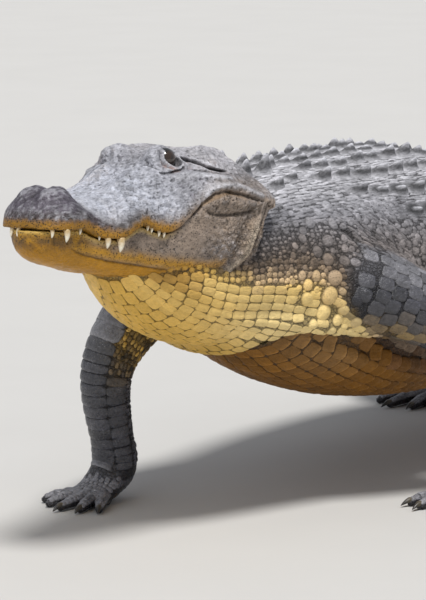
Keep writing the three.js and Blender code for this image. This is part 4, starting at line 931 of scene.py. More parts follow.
def marks(P, N, owner, D=None):
    """Colour with painted light and shade, dark speckling, gloss and grain of the animal at points on its hide."""
    n = len(P)
    col = np.tile(GREY, (n, 1))
    spot, gloss, grain = np.zeros(n), np.full(n, 0.35), np.ones(n)
    w1, w2, w3 = waves(P, 0.06, 21), waves(P, 0.02, 22), waves(P, 0.009, 23)
    m = owner != 1
    if m.any():
        col[m], spot[m], gloss[m], ang, s = body_marks(P[m], w1[m], w2[m])
    m = owner >= 2
    if m.any():
        p, q = P[m], N[m]
        k = len(p)
        c = np.tile(SLATE, (k, 1))
        # right foreleg darker and the other limbs brighter: painted shade and painted sunlight; the lower parts paler,
        # partly dust and partly painted glints
        low_dust_and_sheen = 1 - smooth(p[:, 2], 0.17, 0.245)
        c = c * np.where(owner[m] == PARTS.index("fore_right"), 0.6 + 0.95 * low_dust_and_sheen, 1.35 + 0.3 * low_dust_and_sheen)[:, None]
        inner = -q[:, 1] * np.sign(p[:, 1] - SHIFT[1])
        y = smooth(inner + 0.25 * w1[m] + 0.35 * q[:, 0], 0.2, 0.55) * smooth(p[:, 2] + 0.02 * w1[m], 0.16, 0.235)
        y = np.maximum(y, smooth(-q[:, 2] + 0.3 * w2[m], 0.35, 0.85) * smooth(p[:, 2], 0.24, 0.28) * (owner[m] < 4))
        c = mix(c, np.tile(OCHRE, (k, 1)), y * (0.35 + 0.5 * smooth(w3[m], -0.3, 0.5)))
        # paler grey where the limb faces upward: painted highlight of light from above, and dust
        c = mix(c, np.tile(GREY, (k, 1)), 0.75 * smooth(q[:, 2], 0.05, 0.7))
        c = c * (1 + 0.16 * w1[m] + 0.14 * w2[m])[:, None]
        t = np.ones(k) if D is None else smooth(D[m, 0] - D[m, owner[m]], -0.002, 0.02)
        col[m] = mix(col[m], c, t)
        spot[m] = spot[m] * (1 - t) + 0.7 * y * t
        gloss[m] = gloss[m] * (1 - t) + (0.95 - 0.5 * y) * t
    m = owner == 1
    if m.any():
        p = P[m]
        a, b, z = head_coords(p)
        side = np.abs(b)
        lip = lipZ(a)
        k = len(p)
        tone = lambda colour: np.tile(colour, (k, 1))
        upper = smooth(z - lip, -0.0015, 0.0015)
        x1, x2, x3 = w1[m], w2[m], w3[m]
        # upper side
        c = tone(FACE)
        # paler bluish grey over the snout's top: painted sky reflection over the grey skin
        c = mix(c, tone(SNOUT_SHEEN), smooth(a, 0.078, 0.092) * (1 - smooth(a, 0.2, 0.3)) * smooth(z, 0.016, 0.036) * (0.75 + 0.25 * x2))
        c = mix(c, tone(rgb(180, 177, 181)), 0.8 * smooth(z, 0.08, 0.094) * smooth(a, 0.3, 0.33))
        c = mix(c, tone(CHEEK * 0.85), 0.7 * bump(z, 0.07, 0.015) * smooth(a, 0.3, 0.34))
        # dark blotches and scores of the brow and snout
        c = mix(c, tone(NOSE), 0.5 * smooth(x2 + 0.4 * x3, 0.25, 0.9) * smooth(a, 0.19, 0.25))
        c = mix(c, tone(CHEEK * 0.8), 0.3 * smooth(x1 + 0.5 * x3, 0.3, 0.9))
        c = c * (1 - 0.17 * bump(z, 0.068, 0.02) * smooth(a, 0.25, 0.275) * (1 - smooth(a, 0.34, 0.37)))[:, None]
        end = 0.0745 + 0.055 * (1 - smooth(z - lip, 0.012, 0.034)) - 0.04 * (side - 0.04)
        nose = 1 - smooth(a + 0.004 * x2, end - 0.006, end + 0.008)
        c = mix(c, tone(NOSE * (1 + 0.0)), nose)
        low_band = (1 - smooth(z - lip, 0.006, 0.03)) * smooth(a, 0.08, 0.14)
        c = mix(c, tone(CHEEK * 0.85), 0.7 * low_band)
        c = mix(c, tone(DARK_MOTTLE_AND_SHADE * 0.8), 0.55 * bump(z - lip, 0.0205, 0.006) * (1 - smooth(a, 0.18, 0.27)))
        # grey-brown of the hollow over the jaw muscle
        c = mix(c, tone(CHEEK), smooth(a, 0.27, 0.3) * (1 - smooth(z, np.interp(a, [0.28, 0.3, 0.32, 0.36, 0.4, 0.43], [0.03, 0.052, 0.061, 0.0625, 0.052, 0.045]), np.interp(a, [0.28, 0.3, 0.32, 0.36, 0.4, 0.43], [0.038, 0.058, 0.066, 0.068, 0.058, 0.05]))))
        band = (1 - smooth(z - lip + 0.003 * x3 + 0.0015 * x2, 0.008, 0.0185)) * (1 - 0.75 * smooth(a, 0.225, 0.262)) * (1 - smooth(a, 0.262, 0.29))
        c = mix(c, tone(LIP), band)
        c = mix(c, tone(0.5 * LIP + 0.3 * CHEEK), 0.5 * (1 - smooth(z - lip + 0.0015 * x2, 0.003, 0.0085)) * smooth(a, 0.255, 0.27) * (1 - smooth(a, 0.34, 0.385)))
        sp = (1.0 * bump(z - lip, 0.01, 0.0115) + 0.35 * nose) * (1 - smooth(a, 0.29, 0.32)) + 0.08
        # lower jaw
        line = np.interp(a, [0.0, 0.044, 0.052, 0.068, 0.0984, 0.1257, 0.195, 0.2575, 0.285, 0.31, 0.335, 0.352, 0.364, 0.43], [-0.016, -0.0175, -0.0225, -0.029, -0.0367, -0.0425, -0.05, -0.0575, -0.06, -0.0625, -0.061, -0.053, -0.04, -0.04])
        d = tone(CHEEK)
        # dark in the hollow before the rear fold of the jaw: painted shade, mottled
        d = mix(d, tone(DARK_MOTTLE_AND_SHADE), 0.55 * bump(a - np.interp(z, [-0.066, -0.037, -0.015, 0.01, 0.028], [0.358, 0.383, 0.386, 0.396, 0.41]), -0.026, 0.012) * smooth(x2, -0.6, 0.6))
        # paler on the bulge under the jaw muscle: painted highlight
        d = mix(d, tone(SNOUT_SHEEN), 0.35 * bump(a, 0.335, 0.03) * bump(z, -0.03, 0.022) * smooth(x3, -0.5, 0.6))
        d = mix(d, tone(DARK_MOTTLE_AND_SHADE), 0.55 * smooth(x2 + x3 * 0.5, -0.2, 0.8) * smooth(a, 0.06, 0.12) * (1 - smooth(a, 0.16, 0.24)))
        d = d * (1 + 0.16 * (1 - smooth(a, 0.26, 0.31)) * smooth(x1 + x3, -0.8, 0.6))[:, None]
        front = 1 - smooth(a, 0.06, 0.11)
        d = mix(d, tone(GOLD), front)
        d = mix(d, tone(GUM), 0.7 * (1 - smooth(lip - z, 0.004, 0.012)) * (1 - smooth(a, 0.2, 0.262)))
        d = mix(d, tone(GOLD), 0.9 * bump(z, line + 0.008 + 0.002 * x2, 0.0085) * (1 - 0.3 * smooth(a, 0.3, 0.35)) * (1 - smooth(a, 0.34, 0.356)))
        d = mix(d, tone(CHIN), (1 - smooth(z + 0.001 * x2, line - 0.0015, line + 0.0015)) * (1 - smooth(a, 0.325, 0.34)))
        d = mix(d, tone(DARK_MOTTLE_AND_SHADE), 0.8 * front * bump(z - lip, -0.0165, 0.0125) * smooth(x2 + 0.6 * x3, -1.1, 0.3))
        d = mix(d, tone(GUM), 0.6 * front * (1 - smooth(lip - z, 0.003, 0.008)))
        c = mix(d, c, upper)
        sp = sp * upper + (1 - upper) * (0.75 * smooth(z, line - 0.002, line + 0.006) * (1 - 0.5 * smooth(a, 0.25, 0.4)) + 0.12 + 0.6 * front * bump(z - lip, -0.018, 0.013))
        # back of the jaw: browner mottling towards the throat, and paler along the rear ridge as a painted highlight
        back = smooth(a, 0.3, 0.38) * (1 - smooth(z, 0.0, 0.035))
        c = mix(c, tone(BROWN * 1.15), 0.45 * back * smooth(x2 + 0.5 * x1, -0.2, 0.8))
        c = mix(c, tone(rgb(200, 184, 164)), 0.75 * bump(a - np.interp(z, [-0.066, -0.037, -0.015, 0.01, 0.028], [0.358, 0.383, 0.386, 0.396, 0.41]), 0, 0.0085) * (1 - smooth(z, 0.0, 0.03)))
        # mouth line, ear and creases: painted shade in the grooves, the nostrils and the rim of the eye's opening,
        # painted highlights on the ridges that stand out
        dark = 0.35 * smooth(a, 0.19, 0.22) * bump(z, lip, 0.0014) * (1 - smooth(a, 0.25, 0.28)) * smooth(side, 0.01, 0.02)
        pale = np.zeros(k)
        for points, width, depth in FACE_LINES + [EAR]:
            dist, at = line_distance(a, z, points)
            along = (side > 0.028) * smooth(at, 0, 0.1) * (1 - smooth(at, 0.85, 1))
            if depth > 0.0015:
                thin = 0.85 * (1.1 - 0.65 * at) if depth > 0.01 else 0.66
                dark = np.maximum(dark, min(0.8, depth / 0.0085) * (0.75 + 0.35 * smooth(x2 + 0.6 * x3, -0.5, 0.6)) * np.exp(-((dist / (width * thin)) ** 2)) * along)
            elif depth < 0:
                pale = np.maximum(pale, np.exp(-((dist / width) ** 2)) * along)
        # paler on the lines that stand out: painted highlight, partly dust
        c = mix(c, tone(DUST_AND_SHEEN), 0.45 * pale)
        hole = ellipsoid(np.stack([a, side, z], -1), np.array([0.0585, 0.0165, 0.0605]), np.array([0.0085, 0.0048, 0.008]))
        dark = np.maximum(dark, 1 - smooth(hole, -0.001, 0.0015))
        e = np.sqrt(((a - EYE["a"]) / LID["ra"]) ** 2 + ((z - EYE["z"] + LID_DROP) / LID["rz"]) ** 2)
        near = (side > 0.04) * (side < 0.075)
        dark = np.maximum(dark, 0.6 * bump(e, 0.95, 0.12) * near)
        # the darkness gathered above is painted shade
        c = mix(c, tone(INK * 0.6), 0.92 * dark)
        # thin pale edge of the upper lid, red-brown seams under the eye
        c = mix(c, tone(DUST_AND_SHEEN), 0.5 * bump(e, 1.27, 0.1) * near)
        # dark in the groove round the front of the lids: painted shade
        c = mix(c, tone(INK), 0.4 * (1 - smooth(a, EYE["a"] - 0.012, EYE["a"] + 0.006)) * bump(e, 1.66, 0.09) * near * (1 - dark))
        lid = bump(e, 1.5, 0.35) * near * (1 - smooth(z, EYE["z"] - 0.008, EYE["z"])) * smooth(x3 + 0.4 * x2, -0.5, 0.5)
        c = mix(c, tone(rgb(170, 134, 122)), 0.65 * lid)
        flap = (np.abs(z - np.interp(a, [0.29, 0.31, 0.33, 0.37], [0.0965, 0.0955, 0.0905, 0.086])) < 0.006) * smooth(a, 0.285, 0.3) * (1 - smooth(a, 0.35, 0.375)) * (side > 0.055)
        c = mix(c, tone(rgb(160, 146, 144)), 0.4 * flap * (1 - dark) * smooth(x3, -0.4, 0.5))
        col[m] = c * (1 + 0.14 * x1 + 0.12 * x2 + 0.05 * x3)[:, None]
        spot[m] = np.clip(sp, 0, 1)
        gloss[m] = 0.55 + 0.2 * nose - 0.15 * back
        grain[m] = 0.16 + 0.5 * smooth(a, 0.29, 0.37) * (1 - smooth(z, 0.0, 0.04))
    return np.clip(col, 0.003, 1), np.clip(spot, 0, 1), gloss, grain


def unwrap(P, owner):
    """Place of each point on an unwrap of the hide: body, head and limbs side by side in the unit square."""
    uv = np.zeros((len(P), 2))
    s, u, _ = body_coords(P)
    ang = np.arctan2(u, P[:, 2] - bodyMid(s)) / TAU + 0.5
    uv[:] = np.stack([0.01 + 0.98 * s / BODY_LENGTH, 0.01 + 0.42 * ang], 1)
    m = owner == 1
    if m.any():
        a, b, z = head_coords(P[m])
        h = np.arctan2(b, z - 0.01) / TAU + 0.5
        uv[m] = np.stack([0.01 + np.clip(a, -0.01, 0.5) * 0.98 / 0.5, 0.45 + 0.28 * h], 1)
    for k, (name, limb) in enumerate(LIMBS.items()):
        m = owner == 2 + k
        if m.any():
            idx, x, y, _ = limb["tube"].place(P[m])
            foot = 1 - smooth(P[m][:, 2], 0.0, limb["path"][3][2])
            t = idx / (len(limb["tube"].c) - 1)
            q = P[m] - limb["centre"]
            along, across = q @ limb["fwd"], q @ limb["lateral"]
            arm = np.stack([t * 0.6, np.arctan2(y, x) / TAU + 0.5], 1)
            pad = np.stack([0.63 + (along + 0.08) / 0.24 * 0.36, np.clip((across + 0.07) / 0.14, 0, 1)], 1)
            o = np.where((P[m][:, 2] < limb["path"][3][2])[:, None], pad, arm)
            uv[m] = np.array([0.01 + 0.495 * (k % 2), 0.75 + 0.125 * (k // 2)]) + np.clip(o, 0, 1) * np.array([0.475, 0.115])
    return uv


# ---------------------------------------------------------------- scales
TOP_GAP = 0.0012  # how deep the foot of a scale is sunk in the hide


class Scales:
    """Many scales of one kind: each is a closed solid that stands in the hide."""

    def __init__(self, rings, around):
        self.rings, self.k = rings, around
        self.rows = []

    def add(self, C, L, ha, hb, height, n=2.5, dome=2.5, tilt=0.0, keel=0.0, keel_w=0.16, keel_at=0.45, edge=0.0, tone=None, rough=0.0):
        """C centres near the hide, L the way they lie, ha and hb half length and half width."""
        N = len(C)
        if N:
            f = lambda v: np.broadcast_to(np.asarray(v, float), (N,)).copy()
            self.rows.append([np.asarray(C, float), unit(np.asarray(L, float)), *[f(v) for v in (ha, hb, height, n, dome, tilt, keel, keel_w, keel_at, edge, 1.0 if tone is None else tone, rough)]])

    def build(self, owners=None):
        if not self.rows:
            return None
        C, L, ha, hb, H, n, dome, tilt, keel, kw, ka, edge, tone, rough = [np.concatenate(c) for c in zip(*self.rows)]
        f = in_pieces(field, C)
        far = (np.abs(f) > 0.002) & (np.abs(f) < (0.04 if owners[0] == 0 else 0.008))
        if far.any():
            C[far] = settle(C[far], 5, 0.012)[0]
        f, D = field_and_parts(C)
        keep = np.abs(f) < 0.003
        # a limb's scales give way to the body's where the two meet
        r = np.random.default_rng(len(C))
        limbs = D[:, 2:].min(1)
        meet = limbs - D[:, 0] - 0.006 + 0.007 * r.uniform(-1, 1, len(C))
        who = np.full(len(C), owners[0])
        if owners[0] == 0:
            keep &= (meet > -0.02) & (D[:, 0] < D[:, 1] + 0.002)
            nearer = limbs < D[:, 0] - 0.006
            who = np.where(nearer, 2 + np.argmin(D[:, 2:], 1), 0)
        else:
            keep &= (np.argmin(D, 1) == owners[0]) & (meet < -0.023)
        C, L, ha, hb, H, n, dome, tilt, keel, kw, ka, edge, tone, rough, who, D = [v[keep] for v in (C, L, ha, hb, H, n, dome, tilt, keel, kw, ka, edge, tone, rough, who, D)]
        C, N = settle(C, 2)
        ok = C[:, 2] > 0.004
        C, N, L, ha, hb, H, n, dome, tilt, keel, kw, ka, edge, tone, rough, who, D = [v[ok] for v in (C, N, L, ha, hb, H, n, dome, tilt, keel, kw, ka, edge, tone, rough, who, D)]
        e1 = unit(L - np.sum(L * N, 1, keepdims=True) * N)
        e2 = np.cross(N, e1)
        M = len(C)
        q = np.arange(self.k) / self.k * TAU
        c, s = np.cos(q)[None], np.sin(q)[None]
        nn = n[:, None]
        out = (np.abs(c) ** nn + np.abs(s) ** nn) ** (-1 / nn)
        r = np.random.default_rng(M)
        out = out * (1 + rough[:, None] * (np.sin(2 * q + r.uniform(0, TAU, (M, 1))) * 0.5 + np.sin(3 * q + r.uniform(0, TAU, (M, 1))) * 0.4))
        X, Y, R = [np.zeros((M, 1))], [np.zeros((M, 1))], [np.zeros((M, 1))]
        for rho in self.rings:
            X.append(rho * out * c)
            Y.append(rho * out * s)
            R.append(np.full((M, self.k), rho))
        X, Y, R = (np.concatenate(v, 1) for v in (X, Y, R))
        P = C[:, None] + X[:, :, None] * (ha[:, None] * e1)[:, None] + Y[:, :, None] * (hb[:, None] * e2)[:, None]
        V0 = P.shape[1]
        flat, nf = P.reshape(-1, 3), np.repeat(N, V0, 0)
        # down to the hide along the scale's own normal
        broad = np.repeat((hb > 0.009) & (owners[0] >= 2), V0)
        if broad.any():
            flat[broad], nf[broad] = settle(flat[broad], 3, 0.012)
        slim = ~broad
        for _ in range(2):
            f0 = in_pieces(field, flat[slim])
            flat[slim] = flat[slim] - nf[slim] * np.clip(f0, -0.004, 0.004)[:, None]
        P = flat.reshape(M, V0, 3)
        body = np.maximum(1 - R ** dome[:, None], 0)
        z = H[:, None] * body * (1 + tilt[:, None] * X)
        ramp = np.where(X < ka[:, None], smooth(X, -0.95, 1.0 * ka[:, None]), 1 - smooth(X, ka[:, None], ka[:, None] + 0.5) * 0.9)
        z = z + keel[:, None] * np.exp(-np.abs(Y / kw[:, None]) ** 1.6) * ramp * (1 - smooth(R, 0.82, 1.0))
        z = np.where(R >= 1.0, -TOP_GAP, z)
        P = P + nf.reshape(M, V0, 3) * z[:, :, None]
        P[:, :, 2] = np.maximum(P[:, :, 2], 0.0002)
        # bottom point, so that each scale is a closed solid
        bottom = C - N * (TOP_GAP + 0.0012)
        P = np.concatenate([P, bottom[:, None]], 1)
        V1 = V0 + 1
        k, nr = self.k, len(self.rings)
        F = []
        for j in range(k):
            a, b = 1 + j, 1 + (j + 1) % k
            F.append([0, a, b])
            for i in range(nr - 1):
                p, q_ = 1 + i * k + j, 1 + i * k + (j + 1) % k
                F.append([p, p + k, q_ + k])
                F.append([p, q_ + k, q_])
            a, b = 1 + (nr - 1) * k + j, 1 + (nr - 1) * k + (j + 1) % k
            F.append([a, V0, b])
        F = np.array(F)
        faces = (F[None] + (np.arange(M) * V1)[:, None, None]).reshape(-1, 3)
        # markings: the hide's at the root, a little different on each scale
        col, spot, gloss, grain = marks(C, N, who, D)
        shade = np.minimum(tone * (1 + (0.12 - 0.09 * smooth(col[:, 0] - col[:, 2], 0.15, 0.4)) * r.normal(size=M)), 0.97 / col.max(1))
        col = np.clip(col * shade[:, None], 0.002, 1)
        XX = np.concatenate([X, np.zeros((M, 1))], 1)
        RR = np.concatenate([R, np.ones((M, 1))], 1)
        top = np.concatenate([z / np.maximum(H + keel, 1e-6)[:, None], np.zeros((M, 1))], 1)
        # each scale paler towards its rear edge: painted highlight; darker at its border, a dark seam
        light = 1 + edge[:, None] * smooth(XX, 0.35, 0.95) - 0.85 * smooth(RR, np.where(n > 3, 0.9, 0.85)[:, None], np.where(n > 3, 0.985, 1.0)[:, None])
        ridge = np.clip((top - 0.55) / 0.4, 0, 1) * (keel[:, None] > 0.003)
        # keel flanks darker: painted shadow; keel tops paler: painted highlight and dust
        light = light * (1 - 0.85 * (keel[:, None] > 0.003) * bump(top, 0.4, 0.32) * (RR < 0.85))
        cols = col[:, None] * light[:, :, None]
        cols = cols + (DUST_AND_SHEEN * 1.2 - cols) * (0.85 * ridge)[:, :, None]
        cols = np.clip(cols, 0.002, 1).reshape(-1, 3)
        root = unwrap(C, who)
        uv = root[:, None] + np.stack([np.concatenate([X, np.zeros((M, 1))], 1), np.concatenate([Y, np.zeros((M, 1))], 1)], 2) * 0.0014
        rep = lambda v: np.repeat(v, V1)
        return dict(P=P.reshape(-1, 3), F=faces, col=cols, spot=rep(spot), gloss=rep(gloss), grain=rep(grain * 0.15), uv=uv.reshape(-1, 2), count=M)


def field_and_parts(P):
    f = in_pieces(lambda Q: np.column_stack([*(lambda r: (r[0], r[1]))(field(Q, True))]), P)
    return f[:, 0], f[:, 1:]


def section(s, count=361):
    """The body's outline at s: angles from the top, and lengths along it from the top, one side."""
    ang = np.linspace(0, np.pi, count)
    c, v = np.sin(ang), np.cos(ang)
    mid = bodyMid(s)
    w, ht, hb = bodyW(s), bodyTop(s) - mid, mid - bodyBot(s)
    h = np.where(v >= 0, ht, hb)
    n = np.where(v >= 0, bodyNT(s), bodyNB(s))
    r = 1 / ((c / w) ** n + (np.abs(v) / h) ** n) ** (1 / n)
    u, z = c * r, v * r
    arc = np.concatenate([[0], np.cumsum(np.hypot(np.diff(u), np.diff(z)))])
    return ang, u, z + mid, arc


def stretch(s, a):
    """How much longer the hide is than the spine at s, at angles from the top."""
    m = float(np.mean(s))
    A, B = section(m - 0.006), section(m + 0.006)
    return np.interp(np.radians(a), A[0], np.sqrt(1 + ((B[1] - A[1]) / 0.012) ** 2 + ((B[2] - A[2]) / 0.012) ** 2))


def on_section(s, arc, sec=None):
    """Points on the outline at s, at lengths along it from the top; negative ones lie on the right side."""
    ang, u, z, L = section(s) if sec is None else sec
    t = np.clip(np.abs(arc), 0, L[-1])
    uu = np.interp(t, L, u) * np.sign(arc)
    return body_point(np.full(len(t), s), uu, np.interp(t, L, z)), np.degrees(np.interp(t, L, ang))


def back_dir(s, n):
    """The way along the body, tailward."""
    x, y, b = spine(s)
    return np.tile(np.array([math.cos(b), -math.sin(b), (bodyMid(s + 0.01) - bodyMid(s - 0.01)) / 0.02]), (n, 1))


def lattice(s0, s1, pitch, width, a0, a1, jitter=0.0, brick=True, sides=(1, -1), sag=None):
    """Cross rows from s0 to s1. Yields s, arcs along the outline and their angles, for angles a0..a1 from the top."""
    r = np.random.default_rng(int(s0 * 1000 + (0 if callable(a0) else a0)))
    s, i = s0, 0
    while s < s1:
        p = pitch(s) if callable(pitch) else pitch
        w = width(s) if callable(width) else width
        sec = section(s)
        ang, u, z, L = sec
        l0 = np.interp(math.radians(a0(s) if callable(a0) else a0), ang, L)
        l1 = np.interp(math.radians(a1(s) if callable(a1) else a1), ang, L)
        for side in sides:
            # counted from the belly's midline, so that the rows stay in line along the body
            far = L[-1]
            j = np.arange(0, int((far - l0) / w) + 2)
            arc = far - (j + (0.5 if (i % 2 and brick) else 0.0) + (0.0 if brick else 0.5)) * w
            arc = arc[(arc > l0) & (arc < l1 + (w * 0.3 if l1 > far - 0.001 else 0))]
            arc = arc[arc > 0]
            if side < 0:
                arc = arc[arc < far - 0.2 * w]
            if not len(arc):
                continue
            ss = s + (r.normal(size=len(arc)) * jitter * p if jitter else 0) + (sag(s, arc / far) if sag else 0)
            arc = arc + r.normal(size=len(arc)) * jitter * w
            yield s, ss * np.ones(len(arc)), side * arc, w, p, i, j[: len(arc)]
        s += p
        i += 1


def rows_to(scales, rows, **kw):
    """Adds the scales of a lattice. Each value may be a function of s, angle and a random number."""
    r = np.random.default_rng(5)
    for s, ss, arc, w, p, i, j in rows:
        sec = section(s)
        ang, u, z, L = sec
        t = np.clip(np.abs(arc), 0, L[-1])
        uu = np.interp(t, L, u) * np.sign(arc)
        zz = np.interp(t, L, z) + (bodyMid(ss) - bodyMid(s))
        C = body_point(ss, uu, zz)
        A = np.degrees(np.interp(t, L, ang))
        e = r.uniform(size=len(arc))
        args = {k: (v(ss, A, e) if callable(v) else v) for k, v in kw.items() if k not in ("keep", "turn")}
        ok = kw["keep"](ss, A) if "keep" in kw else np.ones(len(C), bool)
        if not ok.any():
            continue
        pick = lambda v: v[ok] if np.ndim(v) else v
        args = {k: pick(v) for k, v in args.items()}
        L = back_dir(s, len(C))
        if "turn" in kw:
            # turned down the side of the body
            L = L + kw["turn"] * np.stack([0 * A, -np.sign(arc) * np.cos(np.radians(A)), -np.sin(np.radians(A))], 1)
        scales.add(C[ok], L[ok], args.pop("ha", 0.5) * p, args.pop("hb", 0.5) * w, **args)
# geometry: end


# Large knobs of the neck and shoulder: distance behind the tip, angle from the top, radius.
KNOBS = [
    (0.572, 50.5, 0.011), (0.544, 53.5, 0.0081), (0.516, 59.8, 0.0103), (0.564, 60.5, 0.0106), (0.495, 64.5, 0.0081), (0.489, 68.7, 0.0073),
    (0.538, 70.5, 0.0106), (0.511, 67.4, 0.0044), (0.485, 75.2, 0.0066), (0.512, 76.8, 0.0096), (0.543, 76.0, 0.0051), (0.566, 74.6, 0.0073),
    (0.573, 68.8, 0.0073), (0.578, 75.1, 0.0059), (0.53, 80.9, 0.0103), (0.559, 81.2, 0.0082), (0.502, 83.4, 0.0088), (0.483, 81.1, 0.0073),
    (0.577, 82.3, 0.0081), (0.477, 90.3, 0.0081), (0.505, 90.5, 0.0088), (0.539, 90.5, 0.0125), (0.489, 95.8, 0.0103), (0.524, 87.3, 0.0045),
    (0.589, 84.5, 0.0081), (0.566, 91.1, 0.0096), (0.6, 54.5, 0.0073), (0.601, 60.2, 0.0059), (0.521, 72.7, 0.0041), (0.552, 66.0, 0.0044),
    (0.487, 59.5, 0.0062), (0.49, 52.7, 0.0059), (0.47, 72.8, 0.0059), (0.462, 78.4, 0.0059), (0.462, 63.3, 0.0051), (0.491, 104.0, 0.0118),
    (0.532, 100.5, 0.0147), (0.528, 110.0, 0.0142), (0.556, 112.1, 0.0096), (0.561, 105.3, 0.0098), (0.584, 114.8, 0.0088), (0.588, 108.0, 0.0103),
    (0.608, 104.0, 0.0096), (0.627, 101.0, 0.0088), (0.613, 112.2, 0.0073), (0.552, 118.0, 0.0088), (0.596, 119.6, 0.0066), (0.57, 119.5, 0.0073),
    (0.61, 117.5, 0.0059), (0.512, 117.8, 0.0088), (0.581, 98.4, 0.0103), (0.553, 96.5, 0.0068), (0.602, 96.1, 0.0088), (0.643, 106.5, 0.0066),
    (0.662, 110.0, 0.0059), (0.634, 110.0, 0.0066), (0.595, 90.7, 0.0088), (0.507, 98.4, 0.0062), (0.472, 98.0, 0.006), (0.515, 52.0, 0.0055),
    (0.455, 87.0, 0.0055), (0.458, 94.0, 0.0058), (0.548, 60.0, 0.0045), (0.583, 62.5, 0.0062), (0.625, 57.0, 0.0062), (0.648, 62.0, 0.006),
]


def clear_of_knobs(s, ang, side=0.0):
    """Distance from each place to the rim of the nearest large knob."""
    d = np.full(len(s), 1e9)
    for ks, ka, kr in KNOBS:
        d = np.minimum(d, np.hypot(s - ks, (ang - ka) * 0.0029) - kr)
    return d


